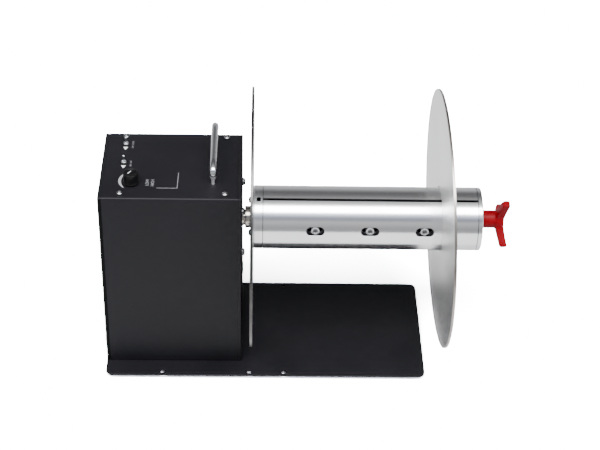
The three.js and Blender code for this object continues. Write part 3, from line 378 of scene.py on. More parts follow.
def face_middles(piece):
    """The middle of each face, in millimetres."""
    return values(piece.data.polygons, "center", 3) / MM


def round_axis(piece):
    """Each face's place along X, and its distance from the spindle axis, in millimetres."""
    heart = face_middles(piece) - AXIS / MM
    return heart[:, 0], np.hypot(heart[:, 1], heart[:, 2])


def second_finish(piece, name, chosen):
    """Gives the chosen faces of a piece a second finish."""
    piece.data.materials.append(finish[name])
    piece.data.polygons.foreach_set("material_index", chosen.astype(int))


AXIS = middle("mandrel_end_ring")
AXIS[0] = 0
print("spindle axis at", AXIS.round(5))

# %% [markdown]
# ## The base plate
#
# The plate is flat sheet with round corners and a row of small holes along each long edge. Blender
# fills a flat curve around its holes and can round the edge of the result at once, which is quick
# and exact for any flat sheet. It is made lying at zero and then put in place in its own mesh.

# %% Flat sheets and round outlines
def mesh_of(curve, place, sharp_degrees=28.0):
    """The mesh that a flat curve or a text makes. `place` takes its points to millimetres in the frame."""
    holder = in_scene(curve.name, curve)
    bpy.context.view_layer.update()
    mesh = bpy.data.meshes.new_from_object(holder.evaluated_get(bpy.context.evaluated_depsgraph_get()))
    bpy.data.objects.remove(holder)
    mesh.vertices.foreach_set("co", (place(values(mesh.vertices, "co", 3)) * MM).ravel())
    return cleaned(mesh, sharp_degrees)


def flat_sheet(name, loops, low, high, edge):
    """A sheet between two heights from closed outlines in millimetres; loops after the first are holes.
    Its outlines are drawn in from the edge by the size of the rounding, which the bevel gives back."""
    curve = bpy.data.curves.new(name, "CURVE")
    curve.dimensions = "2D"
    curve.fill_mode = "BOTH"
    curve.extrude = (high - low) / 2 - edge
    curve.bevel_depth = edge
    curve.bevel_resolution = 2
    curve.offset = -edge
    for loop in loops:
        spline = curve.splines.new("POLY")
        spline.points.add(len(loop) - 1)
        spline.points.foreach_set("co", np.column_stack([loop, np.zeros(len(loop)), np.ones(len(loop))]).ravel())
        spline.use_cyclic_u = True
    return mesh_of(curve, lambda points: points + (0, 0, (low + high) / 2), sharp_degrees=12.0)


def arc(radius, first, last, steps, centre=(0, 0)):
    """Points on a circle: the centre plus radius times cosine and sine, between two angles in degrees."""
    angle = np.radians(np.linspace(first, last, steps))
    return np.column_stack([np.cos(angle), np.sin(angle)]) * radius + centre


def rounded_outline(x, y, radii, steps=10):
    """A rectangle with its own radius at each corner, anticlockwise from the low-low corner."""
    corners = [(x[0], y[0], 1, 1, 180), (x[1], y[0], -1, 1, 270), (x[1], y[1], -1, -1, 0), (x[0], y[1], 1, -1, 90)]
    return np.concatenate([arc(radius, start, start + 90, steps, (cx + sx * radius, cy + sy * radius))
                           for (cx, cy, sx, sy, start), radius in zip(corners, radii)])


print("a rounded outline has", len(rounded_outline((0, 9), (0, 9), [1] * 4)), "points")

# %% Base plate and feet
PLATE_CORNER, PLATE_HOLE, PLATE_HOLE_INSET, PLATE_EDGE = 8.0, 2.8, 6.0, 0.4
PLATE_HOLE_PLACES = (68.0, 172.0, 213.8)
FOOT_R, FOOT_TIP_R, FOOT_SCREW_R, FOOT_SCREW_DEEP = 9.0, 7.5, 3.2, 2.2

plate_x, plate_y, plate_z = (span("base_plate", axis) for axis in range(3))
plate_loops = [rounded_outline(plate_x, plate_y, [PLATE_CORNER] * 4, 16)]
for along in PLATE_HOLE_PLACES:
    for across in (plate_y[0] + PLATE_HOLE_INSET, plate_y[1] - PLATE_HOLE_INSET):
        plate_loops.append(arc(PLATE_HOLE, 360, 0, 33, (plate_x[0] + along, across))[1:])
plate = add_piece("base_plate_fine", flat_sheet("base_plate_fine", plate_loops, *plate_z, PLATE_EDGE),
                  finish["black_powder_coat"])
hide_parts("base_plate")

for number in range(1, 5):
    low, high = span(f"rubber_foot_{number}", 2)
    inside = low + FOOT_SCREW_DEEP
    lathe(f"rubber_foot_{number}", softened([(0, high), (FOOT_R, high), (FOOT_TIP_R, low), (FOOT_SCREW_R, low),
                                             (FOOT_SCREW_R - 0.6, inside), (0, inside)], 0.7))
print("base plate", [round(b - a, 1) for a, b in (plate_x, plate_y, plate_z)], "mm")

# %% [markdown]
# ## The housing: chassis and cover
#
# The housing is two pieces of sheet steel. The chassis has thick side plates with rounded edges. The
# cover is one sheet bent over two rounded edges, and it makes the front, the top and the back. A bent
# strip is a profile in Y and Z carried along X. Each side plate is its outline carried through its
# thickness, drawn in where the edge is rounded, and closed by the flat faces on both sides.

# %% The bent cover
COVER_SHEET, COVER_BEND, COVER_LIFT, SEAM = 2.0, 2.4, 0.2, 0.6
house_y, house_z = span("chassis", 1), span("chassis", 2)
PANEL = house_z[1]
cover_x = span("housing_cover")


def strip_between(outer, inner, places):
    """A closed strip: the outer and the inner edge of its section, both in Y and Z, carried along X."""
    section = np.concatenate([outer, inner[::-1]])
    body = np.stack([np.column_stack([np.full(len(section), x), section]) for x in places])
    ends = [np.stack([np.column_stack([np.full(len(edge), x), edge]) for edge in (outer, inner)])
            for x in (places[0], places[-1])]
    return [body * MM] + [(end * MM, False, False) for end in ends]


def arch(inward, z_low):
    """The cover's outline, drawn in by a distance: up the front, over the top and down the back, with
    a round bend at each upper corner."""
    y, z_top, radius = (house_y[0] + inward, house_y[1] - inward), PANEL - inward, COVER_BEND - inward
    front = arc(radius, 180, 90, 9, (y[0] + radius, z_top - radius))
    back = front[::-1] * (-1, 1) + (y[0] + y[1], 0)
    return np.concatenate([[(y[0], z_low)], front, back, [(y[1], z_low)]])


cover_edges = [arch(inward, house_z[0] + COVER_LIFT) for inward in (0, COVER_SHEET)]
dress("housing_cover", *strip_between(*cover_edges, np.linspace(cover_x[0] + SEAM, cover_x[1], 9)))
print("cover is", round(cover_x[1] - cover_x[0], 1), "mm wide between the side plates")

# %% Side plates and slabs
SIDE_THICK, SIDE_ROUND, SIDE_CORNER = 3.5, 1.5, 2.4
OUTLINE_SHARE = 0.996


def stations(places, rings, along_x):
    """Rings of points in a plane, each at its own place along X or else along Z, from mm to metres."""
    places = np.broadcast_to(places[:, None, None], rings.shape[:2] + (1,))
    return np.concatenate([places, rings] if along_x else [rings, places], -1) * MM


def side_plate(outer_face, outward):
    """The outline of the plate at each station through its thickness, drawn in by the rounding of
    the outer edge, and closed by a point in the middle of each flat face. A ring just inside each
    edge keeps the shading of the flat face flat."""
    inset, depth = np.concatenate([
        [(0.5, SIDE_THICK), (0.15, SIDE_THICK), (0, SIDE_THICK - 0.15), (0, SIDE_THICK / 2)],
        SIDE_ROUND - arc(SIDE_ROUND, 0, 90, 7), [(SIDE_ROUND + 0.4, 0)]]).T
    rings = np.stack([rounded_outline((house_y[0] + s, house_y[1] - s), (house_z[0] + s, house_z[1] - s),
                                      np.maximum([0.6, 0.6, SIDE_CORNER, SIDE_CORNER] - s, 0.05), 12)
                      for s in inset])
    heart = np.broadcast_to([sum(house_y) / 2, sum(house_z) / 2], rings[:1].shape)
    rings = np.concatenate([heart, rings, heart])
    return stations(outer_face - outward * np.concatenate([depth[:1], depth, depth[-1:]]), rings, True)


def slab(x, y, z, edge=0.3):
    """A box with softened upright edges, as rings from its underside to its top."""
    outline = rounded_outline(x, y, [edge * 2] * 4, 4)
    centre = np.array([[(x[0] + x[1]) / 2, (y[0] + y[1]) / 2]])
    shares = np.array([0, OUTLINE_SHARE, 1, 1, OUTLINE_SHARE, 0])[:, None, None]
    heights = np.array([z[0], z[0], z[0] + edge, z[1] - edge, z[1], z[1]])
    return stations(heights, centre + (outline[None] - centre) * shares, False)


print("side plates are", SIDE_THICK, "mm thick")

# %% Chassis: side plates, floor, tabs and lips
FLOOR_THICK = 3.0
TAB_LEFT, TAB_RIGHT, TAB_THICK, TAB_INSET, TAB_FRONT, TAB_BACK = 34.0, 23.6, 3.0, 3.2, 17.5, 10.0
LIP_DEPTHS, LIP_TOUCH, LIP_SUNK = (0.5, 2.6), 0.04, 0.3

chassis_x = span("chassis")
inner_x = (chassis_x[0] + SIDE_THICK, chassis_x[1] - SIDE_THICK)
inner_y = (house_y[0] + COVER_SHEET + 0.2, house_y[1] - COVER_SHEET - 0.2)
under_cover = PANEL - COVER_SHEET - 0.2
tabs = [slab(x, y, (under_cover - TAB_THICK, under_cover))
        for x in ((inner_x[0], inner_x[0] + TAB_LEFT), (inner_x[1] - TAB_RIGHT, inner_x[1]))
        for y in ((house_y[0] + TAB_INSET, house_y[0] + TAB_INSET + TAB_FRONT),
                  (house_y[1] - TAB_INSET - TAB_BACK, house_y[1] - TAB_INSET))]
lip_edges = [arch(inward, house_z[0] + FLOOR_THICK + 0.1) for inward in LIP_DEPTHS]
lips = [grid for x in ((inner_x[0] - LIP_SUNK, cover_x[0] + SEAM - LIP_TOUCH),
                       (cover_x[1] + LIP_TOUCH, inner_x[1] + LIP_SUNK))
        for grid in strip_between(*lip_edges, x)]
chassis = dress("chassis", side_plate(chassis_x[0], -1), side_plate(chassis_x[1], 1),
                slab(inner_x, inner_y, (house_z[0], house_z[0] + FLOOR_THICK)), *tabs, *lips)
x, y, z = face_middles(chassis).T
# The lips in the left seam and the left side plate's front edge are painted shade, a duller and darker black.
second_finish(chassis, "painted_shade_sheet_edge", (x > chassis_x[0] + 0.1) & (x < cover_x[0] + SEAM)
              & (y < house_y[0] + LIP_DEPTHS[1] + 0.1) & (z < PANEL - 0.6 * SIDE_CORNER))
print("chassis is", round(chassis_x[1] - chassis_x[0], 1), "mm wide")

# %% [markdown]
# ## Screws
#
# Small screws catch the eye because each one is a point of light. The heads are low domes with a
# hexagon socket. A ring of the surface can be a circle or a hexagon, so the dome, the socket's walls
# and its floor are one profile.

# %% Screws of the cover, the motor and the inner disc
DOME_R, DOME_H, SOCKET_R, SOCKET_DEEP = 3.7, 2.6, 1.5, 1.4
MOTOR_HEAD_R, MOTOR_HEAD_H = 4.5, 3.4
DOME_DEGREES, DOME_START, DOME_SWING = 78, (0.42, 0.25), (0.58, 0.75)


def screws(node, count, shank, length, axis, material, radius=DOME_R, height=DOME_H):
    """One dome screw for each node, its seat one head's height from the end of its box. The profile
    is shank, underside, domed head and socket, where two rings are hexagons. The dome is an arc, from
    its starting share of the radius and the height up to the full height."""
    dome = arc(1, 0, DOME_DEGREES, 8)
    dome = (dome / (1, dome[-1, 1]) * DOME_SWING + DOME_START) * (radius, height)
    shaft = [(0, -length), (shank * 0.8, -length), (shank, -length + 0.6), (shank, -0.2), (shank + 0.2, 0),
             (radius - 0.2, 0), (radius, 0.2)]
    socket = [(SOCKET_R + 0.35, height), (SOCKET_R, height - 0.12), (SOCKET_R, height - SOCKET_DEEP),
              (0, height - SOCKET_DEEP - 0.3)]
    profile = np.concatenate([shaft, dome, socket])
    six = [0] * (len(profile) - 3) + [1, 1, 0]
    for number in range(1, count + 1):
        low, high = (end["xyz".index(axis[-1])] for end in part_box(f"{node}_{number}"))
        seat = low + height * MM if axis[0] == "-" else high - height * MM
        lathe(f"{node}_{number}", profile, axis, 36, six, seat, material=finish[material])


screws("cover_screw", 4, 1.6, 6.0, "z", "mid_zinc")
screws("motor_screw", 4, 2.0, 11.5, "x", "dull_zinc", MOTOR_HEAD_R, MOTOR_HEAD_H)
screws("flange_screw", 3, 1.9, 10.0, "-x", "dull_zinc")
print("eleven dome screws")

# %% [markdown]
# ## The carry handle
#
# A bow handle is a bright bar whose ends are turned down to thin necks. It is a circle carried along
# a path of two straight legs, two bends and the grip, and its radius changes along the legs.

# %% The handle and its nuts
HANDLE_R, NECK_R, NECK_H, TAPER, BEND_REACH, BEND_RISE = 4.0, 1.9, 4.5, 7.9, 15.7, 7.7
STUD_DEEP, STUD_NUT_HOLE, STUD_NUT_R = 10.0, 2.2, 3.6
EVEN_SHARE, FROSTED_SHARE = 0.75, 0.85


def bow_handle(x, y, foot, top):
    """A circle carried up one leg, round a bend, along the grip, round and down the other leg. Along
    the cone its radius grows from the neck to the bar, by a mix of an even and a soft step."""
    rise = top - HANDLE_R
    cone = NECK_H + TAPER * np.array([-0.06, 0, 0.06, 0.25, 0.5, 0.75, 0.94, 1.0, 1.1])
    leg = foot + np.concatenate([[-STUD_DEEP, -0.2, 0.0, 2.0], cone])
    ends = (np.array(p) for p in ((y[0], rise - BEND_RISE), (y[0], rise), (y[0] + BEND_REACH, rise)))
    path = np.concatenate([np.column_stack([np.full(len(leg), y[0]), leg]),
                           bend(*ends, np.linspace(0, 1, 17)[:, None])])
    grip = np.linspace(0, 1, 9)[1:-1, None] * [y[1] - y[0] - 2 * BEND_REACH, 0] + path[-1]
    path = np.concatenate([path, grip, path[::-1] * (-1, 1) + (y[0] + y[1], 0)])
    step = np.clip((path[:, 1] - foot - NECK_H) / TAPER, 0, 1)
    step = EVEN_SHARE * step + (1 - EVEN_SHARE) * step * step * (3 - 2 * step)
    radius = NECK_R + (HANDLE_R - NECK_R) * step
    ahead = np.gradient(path, axis=0)
    ahead /= np.linalg.norm(ahead, axis=1)[:, None]
    out = np.column_stack([ahead[:, 1], -ahead[:, 0]])
    angle = np.linspace(0, 2 * np.pi, 40, endpoint=False)
    flat = path[:, None] + out[:, None] * (radius[:, None] * np.cos(angle))[..., None]
    points = np.concatenate([(x + radius[:, None] * np.sin(angle))[..., None], flat], -1)
    caps = [np.broadcast_to(points[i].mean(0), points[i].shape)[None] for i in (0, -1)]
    return np.concatenate([caps[0], points, caps[1]]) * MM


handle_x, handle_top = middle("carry_handle")[0] / MM, span("carry_handle", 2)[1]
handle_y = (span("carry_handle", 1)[0] + HANDLE_R, span("carry_handle", 1)[1] - HANDLE_R)
handle = dress("carry_handle", bow_handle(handle_x, handle_y, PANEL, handle_top), sharp_degrees=50)
# The cones and necks get a rougher chrome, and its colour, brighter than the bar's chrome, is a painted highlight.
second_finish(handle, "frosted_chrome_and_painted_highlight", face_middles(handle)[:, 2] < PANEL + NECK_H + FROSTED_SHARE * TAPER)


def nut(node, hole, radius, share, soft, **looks):
    """A nut: `share` is how far its outer side goes from a circle to a hexagon."""
    low, high = span(node, 2)
    profile = ring_of([(hole, low), (radius, low), (radius, high), (hole, high)], soft)
    lathe(node, profile, six=[share if r > (hole + radius) / 2 else 0 for r, _ in profile], **looks)


for number in (1, 2):
    nut(f"handle_nut_{number}", STUD_NUT_HOLE, STUD_NUT_R, 1, 0.3)
print("handle spans", round(handle_y[1] - handle_y[0], 1), "mm")

# %% [markdown]
# ## Switches and the torque dial
#
# Each toggle has a threaded bush through the panel, a hexagon nut and a polished lever with a small
# ball end. The thread is a profile whose radius goes up and down like a fine wave. The dial is a
# moulded knob with shallow grips round its side, which come from adding a wave to its radius, and a
# white line across its top.

# %% Toggle switches
BUSH_R, BUSH_BORE, BUSH_DEEP, TOGGLE_NUT_R, BALL_R, PIVOT_R = 3.0, 2.2, 6.0, 3.6, 1.35, 2.0
CASE_HALF_WIDE, CASE_HALF_LONG = 4.0, 6.3


def thread(radius, low, high, pitch=0.7, depth=0.22):
    """(radius, place) points of a thread's outline: the radius swings once in each pitch."""
    turns = int(round((high - low) / pitch))
    place = np.linspace(low, high, turns * 2 + 1)
    return [(radius - depth * (i % 2), h) for i, h in enumerate(place)]


for toggle in ("toggle_1", "toggle_2"):
    at = toggle + "_nut"
    low, high = span(toggle + "_body", 2)
    bush = ([(0, under_cover - 0.1), (BUSH_R, under_cover - 0.1)] + thread(BUSH_R, under_cover + 0.1, high - 0.3) + [
        (2.75, high), (2.3, high), (BUSH_BORE, high - 0.4), (BUSH_BORE, high - BUSH_DEEP), (0, high - BUSH_DEEP)])
    x, y = middle(at)[:2] / MM
    case = slab((x - CASE_HALF_WIDE, x + CASE_HALF_WIDE), (y - CASE_HALF_LONG, y + CASE_HALF_LONG), (low, under_cover))
    lathe(toggle + "_body", bush, steps=36, at=at, more=[case])
    nut(at, BUSH_R + 0.1, TOGGLE_NUT_R, 0.7, 0.25, material=finish["dark_disc_rim"])
    low, high = span(toggle + "_lever", 2)
    lever = np.concatenate([arc(PIVOT_R, -90, 62, 9, (0, low + PIVOT_R)), [(0.85, low + 4.4), (0.95, high - 5.0)],
                            arc(BALL_R, -58, 90, 9, (0, high - BALL_R))])
    lathe(toggle + "_lever", lever, steps=32, at=at, sharp_degrees=50)
print("toggles at", [middle(f"toggle_{n}_nut").round(4).tolist()[:2] for n in (1, 2)])

# %% The torque dial
DIAL_R, DIAL_TOP_R, DIAL_BORE, DIAL_BORE_DEEP = 9.0, 8.5, 3.7, 6.0
GRIPS, GRIP_DEPTH, GRIP_FROM, GRIP_FADE_IN, GRIP_TO, GRIP_FADE_OUT = 20, 0.32, 2.6, 0.8, 0.1, 1.6
dial_low, dial_high = span("torque_dial", 2)
dial_x, dial_y, _ = middle("torque_dial") / MM
rings = softened([(DIAL_BORE, dial_low + DIAL_BORE_DEEP), (DIAL_BORE, dial_low), (DIAL_R, dial_low),
                  (9.2, dial_low + 2.2), (8.75, dial_low + 2.9), (DIAL_TOP_R, dial_high), (7.2, dial_high),
                  (6.9, dial_high - 0.35), (0, dial_high - 0.45)], 0.7)
dial = turned(rings, (0, 0, 0), "z", 240) / MM
x, y, z = dial[..., 0], dial[..., 1], dial[..., 2]
on_side = (np.clip((z - dial_low - GRIP_FROM) / GRIP_FADE_IN, 0, 1)
           * np.clip((dial_high - GRIP_TO - z) / GRIP_FADE_OUT, 0, 1) * (np.hypot(x, y) > DIAL_TOP_R - 1))
shrink = 1 - GRIP_DEPTH / DIAL_R * on_side * (0.5 + 0.5 * np.cos(GRIPS * np.arctan2(y, x))) ** 0.5
dial[..., :2] *= shrink[..., None]
closing = np.array([[[0, 0, dial_low + DIAL_BORE_DEEP]]]) + np.zeros((1, dial.shape[1], 3))
dress("torque_dial", (np.concatenate([closing, dial]) + [dial_x, dial_y, 0]) * MM, sharp_degrees=40)
print("dial is", round(dial_high - dial_low, 1), "mm high")


# %% [markdown]
# ## Printed marks
#
# Marks on a panel are ink a few hundredths of a millimetre thick. Lines are narrow bands along a
# path, a grey crescent between two arcs lies beside the dial, and each switch has a small arrow.
# The only words are the plain ones that any such control has.

# %% Helpers for ink
INK = 0.06


def ink_band(name, left, right, ink, height=PANEL, **where):
    """A thin closed band between two lines of points in X and Y, printed on a surface at `height`."""
    lift = np.ones((len(left), 1))
    band = np.stack([np.column_stack([side, lift * level]) for side, level in
                     ((left, height), (right, height), (right, height + INK), (left, height + INK))])
    ends = [np.stack([band[:2, i], band[:1:-1, i]]) for i in (0, -1)]
    mesh = mesh_from_grids(name, [(band * MM, True, False)] + [(end * MM, False, False) for end in ends])
    return add_piece(name, mesh, finish[ink], **where)


def ink_line(name, path, width, ink):
    """A band of even width along a polyline, mitred at its corners."""
    path = np.asarray(path, float)
    ahead = np.diff(path, axis=0)
    ahead /= np.linalg.norm(ahead, axis=1)[:, None]
    normal = np.column_stack([-ahead[:, 1], ahead[:, 0]])
    mitre = np.concatenate([normal[:1], normal[:-1] + normal[1:], normal[-1:]])
    mitre /= (mitre * np.concatenate([normal[:1], normal])).sum(1)[:, None]
    return ink_band(name, path + mitre * width / 2, path - mitre * width / 2, ink)


def ink_words(name, words, size, x, y):
    """Words that read from front to back, as flat letters whose tops face the panel's left edge."""
    text = bpy.data.curves.new(name, "FONT")
    text.body = words
    text.size = size
    text.extrude = INK / 2
    mesh = mesh_of(text, lambda flat: np.column_stack([x - flat[:, 1], y + flat[:, 0], PANEL + INK / 2 + flat[:, 2]]))
    return add_piece(name, mesh, finish["grey_ink"])


def from_dial(x, y):
    """A point on the panel, from its place relative to the dial."""
    return np.array([dial_x + x, dial_y + y])


def arc_through(first, second, third):
    """Points on the circle through three points: its centre is where their middle perpendiculars meet."""
    a, b, c = (from_dial(*p) for p in (first, second, third))
    rows = np.array([b - a, c - b])
    centre = np.linalg.solve(rows, (rows * [(a + b) / 2, (b + c) / 2]).sum(1))
    turns = np.unwrap([math.atan2(*(p - centre)[::-1]) for p in (a, b, c)])
    return arc(np.linalg.norm(a - centre), *np.degrees(turns[::2]), 24, centre)


print("the marks are placed from the dial's axis, at", from_dial(0, 0).round(1), "mm")

# %% The marks themselves
POINTER_FROM, POINTER_TO, POINTER_WIDE, POINTER_SUNK = (-3.7, -2.1), (1.7, 6.1), 0.9, 0.46
CRESCENT_OUTER = (-10.1, 16.6), (-14.5, 1.4), (-7.9, -9.6)
CRESCENT_INNER = (-9.0, 14.6), (-11.4, 1.4), (-7.7, -9.0)
ARROW_HALF, ARROW_TIP_HALF, ARROW_FROM, ARROW_TO = 2.8, 0.1, -5.3, -10.8
BRACKET, BRACKET_WIDE = [(-171.0, -39.8), (-147.6, -39.8), (-147.2, -10.0)], 0.7
SWITCH_WORDS = {1: "ON  OFF", 2: "CW  CCW"}
SWITCH_WORD_X, SWITCH_WORD_Y, SWITCH_WORD_SIZE = 9.2, -7.5, 3.0
DIAL_WORDS, DIAL_WORD_SIZE = {"LOW": (20.1, -5.2), "HIGH": (26.2, -6.1)}, 5.4

start, end = from_dial(*POINTER_FROM), from_dial(*POINTER_TO)
direction = (end - start) / np.linalg.norm(end - start)
across = np.array([-direction[1], direction[0]]) * POINTER_WIDE / 2
ink_band("dial_pointer", np.stack([start + across, end + across]), np.stack([start - across, end - across]),
         "white_ink", dial_high - POINTER_SUNK, body="torque_control", slot="black_plastic")
# A grey crescent between two arcs beside the dial.
ink_band("dial_crescent", arc_through(*CRESCENT_INNER), arc_through(*CRESCENT_OUTER), "crescent_grey")
for number, words in SWITCH_WORDS.items():
    x, y, _ = middle(f"toggle_{number}_nut") / MM
    left, right = (np.array([(x + way * ARROW_HALF, y + ARROW_FROM), (x + way * ARROW_TIP_HALF, y + ARROW_TO)])
                   for way in (-1, 1))
    ink_band(f"switch_arrow_{number}", left, right, "white_ink")
    ink_words(f"switch_words_{number}", words, SWITCH_WORD_SIZE, x + SWITCH_WORD_X, y + SWITCH_WORD_Y)
for word, place in DIAL_WORDS.items():
    ink_words(f"dial_{word.lower()}_word", word, DIAL_WORD_SIZE, *from_dial(*place))
ink_line("panel_bracket", BRACKET, BRACKET_WIDE, "grey_ink")
print("ink", INK, "mm thick")

# %% [markdown]
# ## Bearing nose, collar, plug and inlet
#
# Between the housing and the inner disc the shaft shows as two short nickel-bright rings: the
# bearing's nose and the shaft collar. The right wall also has a snap-in plug, and the left wall has
# the inlet for the supply, with a nut round its sleeve.

# %% Small turned pieces on the walls
SHAFT_HOLE, NOSE_R, COLLAR_R, COLLAR_EDGE = 6.3, 10.35, 12.9, 0.4
PLUG_R, PLUG_RIM_R, INLET_NUT_R, INLET_R, INLET_BORE, INLET_DEEP = 6.2, 7.8, 7.0, 5.5, 3.0, 11.4

low, high = span("bearing_nose")
lathe("bearing_nose", ring_of([(SHAFT_HOLE + 0.1, low), (NOSE_R, low), (NOSE_R, high - 0.3), (NOSE_R - 0.3, high),
                               (SHAFT_HOLE + 0.1, high)], 0.12), "x", 64)
low, high = span("shaft_collar")
lathe("shaft_collar", ring_of([(SHAFT_HOLE, low), (COLLAR_R - COLLAR_EDGE, low), (COLLAR_R, low + COLLAR_EDGE),
                               (COLLAR_R, high - COLLAR_EDGE), (COLLAR_R - COLLAR_EDGE, high), (SHAFT_HOLE, high)],
                              0.15), "x", 64)
print("collar from", round(low, 1), "to", round(high, 1), "mm")
low, high = span("hole_plug")
lathe("hole_plug", softened([
    (0, low), (5.4, low), (PLUG_R, low + 1.4), (PLUG_R, high - 1.2), (PLUG_RIM_R, high - 1.2),
    (PLUG_RIM_R, high - 0.7), (7.2, high), (2.2, high - 0.25), (0, high - 0.3)], 0.25), "x", 64)
low, high = span("power_inlet")
inlet = softened([(0, high), (INLET_R, high), (INLET_R, low + 1.3), (INLET_NUT_R, low + 1.3), (INLET_NUT_R, low + 0.4),
                  (5.0, low), (INLET_BORE + 0.3, low), (INLET_BORE, low + 0.4), (INLET_BORE, low + INLET_DEEP),
                  (1.0, low + INLET_DEEP), (1.0, low + 2.6), (0, low + 1.9)], 0.25)
lathe("power_inlet", inlet, "x", six=[1 if radius > INLET_R + 0.2 else 0 for radius, _ in inlet])

# %% [markdown]
# ## The flange discs
#
# Both discs are 3 mm aluminium sheet with a narrow round on each edge. The inner one is screwed to
# the mandrel. The outer one only hangs on it, and leans about two degrees, so its points are turned
# about the disc's centre until their axis lies along the leaning normal.

# %% Discs
DISC_R, DISC_BORE, DISC_EDGE, LEAN_BACK, LEAN_UP = 153.0, 38.3, 0.45, 1.037, 1.655
DISC_STEPS = 288


def disc(bore, low, high, centre):
    """A disc about the X axis: bore, one face, rim, other face."""
    profile = ring_of([(bore, low), (DISC_R, low), (DISC_R, high), (bore, high)], DISC_EDGE)
    return turned(profile, centre, "x", DISC_STEPS)


def finish_rim(piece, centre, name):
    """The turned rim, which is the faces farther out than the middle of the edge rounding, gets its own finish."""
    second_finish(piece, name, np.linalg.norm(face_middles(piece) - centre / MM, axis=1) > DISC_R - DISC_EDGE / 2)


def rotated(points, degrees, axis=(1.0, 0, 0), centre=AXIS):
    """Points turned about the spindle's axis or another one, by Rodrigues' formula: the part along the
    axis stays, and the rest goes round by the angle's cosine and sine."""
    angle, axis, local = math.radians(degrees), axis / np.linalg.norm(axis), points - centre
    stays = axis * (local @ axis)[..., None] * (1 - math.cos(angle))
    return local * math.cos(angle) + np.cross(axis, local) * math.sin(angle) + stays + centre


inner_disc = span("inner_flange_disc")
piece = dress("inner_flange_disc", disc(SHAFT_HOLE, *inner_disc, AXIS))
finish_rim(piece, middle("inner_flange_disc"), "dark_disc_rim")
outer_centre = middle("outer_flange_disc")
half = (inner_disc[1] - inner_disc[0]) / 2
normal = np.array([1.0, math.tan(math.radians(LEAN_BACK)), math.tan(math.radians(LEAN_UP))])
lean = math.degrees(math.acos(1 / np.linalg.norm(normal)))
leaning = rotated(disc(DISC_BORE, -half, half, outer_centre), lean, np.cross([1.0, 0, 0], normal), outer_centre)
piece = dress("outer_flange_disc", leaning, material=finish["satin_disc"])
finish_rim(piece, outer_centre, "grey_disc_rim")
print("outer disc leans", round(lean, 2), "degrees")

# %% [markdown]
# ## The expanding mandrel
#
# Three shells slide outwards when the knob is turned, so the mandrel has three slots in each shell
# and three slits along it, with a screw head at the bottom of each slot. One length of shell round
# a slot is a closed outline that changes in steps: from the rectangle at the shell's edge, over the
# outer face to the slot's rim, down its wall, across a ledge, and back under the shell. The outline
# is given by its place along X and its angle round the axis.

# %% Outlines on a cylinder
SIDE_POINTS, LONG_POINTS = 44, 16


def box_loop(x0, x1, half_angle):
    """A rectangle in place and angle: up its far side, back along its top, down, and out again."""
    side, top = np.linspace(-1, 1, SIDE_POINTS, endpoint=False), np.linspace(0, 1, LONG_POINTS, endpoint=False)
    x = np.concatenate([np.full(SIDE_POINTS, x1), x1 + (x0 - x1) * top, np.full(SIDE_POINTS, x0), x0 + (x1 - x0) * top])
    a = np.concatenate([side, np.ones(LONG_POINTS), -side, -np.ones(LONG_POINTS)]) * half_angle
    return x, a


def slot_loop(centre, length, width, radius):
    """A slot with round ends, starting at the same corner; its width is turned into an angle at a radius."""
    r = width / 2
    reach = length / 2 - r
    side = np.radians(np.linspace(-90, 90, SIDE_POINTS, endpoint=False))
    top = np.linspace(1, -1, LONG_POINTS, endpoint=False) * reach
    x = centre + np.concatenate([reach + r * np.cos(side), top, -reach - r * np.cos(side), -top])
    w = np.concatenate([r * np.sin(side), np.full(LONG_POINTS, r), -r * np.sin(side), np.full(LONG_POINTS, -r)])
    return x, np.arcsin(w / radius)


def mixed(one, other, share):
    """Outlines between two outlines, at each share of the way."""
    return [a * (1 - share) + b * share for a, b in zip(one, other)]


def on_cylinder(x, angle, radius, turn_degrees):
    """Points at a radius from the spindle axis, from places along it and angles that count from a turn."""
    full = angle + math.radians(turn_degrees)
    y, z = radius * np.cos(full) + AXIS[1] / MM, radius * np.sin(full) + AXIS[2] / MM
    return np.stack(np.broadcast_arrays(x, y, z), -1) * MM


print("each outline has", 2 * (SIDE_POINTS + LONG_POINTS), "points")

# %% The shells
SHELL_R, SHELL_BORE, SHELL_EDGE, SLIT, SHELL_GAP = 37.25, 31.0, 0.35, 2.8, 0.05
SLOT_LONG, SLOT_WIDE, LEDGE_LONG, LEDGE_WIDE, LEDGE_R = 20.8, 10.8, 19.4, 7.4, 29.9
BOSS_R, BOSS_HALF_LONG, BOSS_HALF_ANGLE = 28.4, 13.5, 0.36
MOUTH_BEVEL, FACE_STEPS, FACE_CROWDING, SHELL_ANGLE, SHELLS = 0.3, 20, 1.3, 169.5, 3


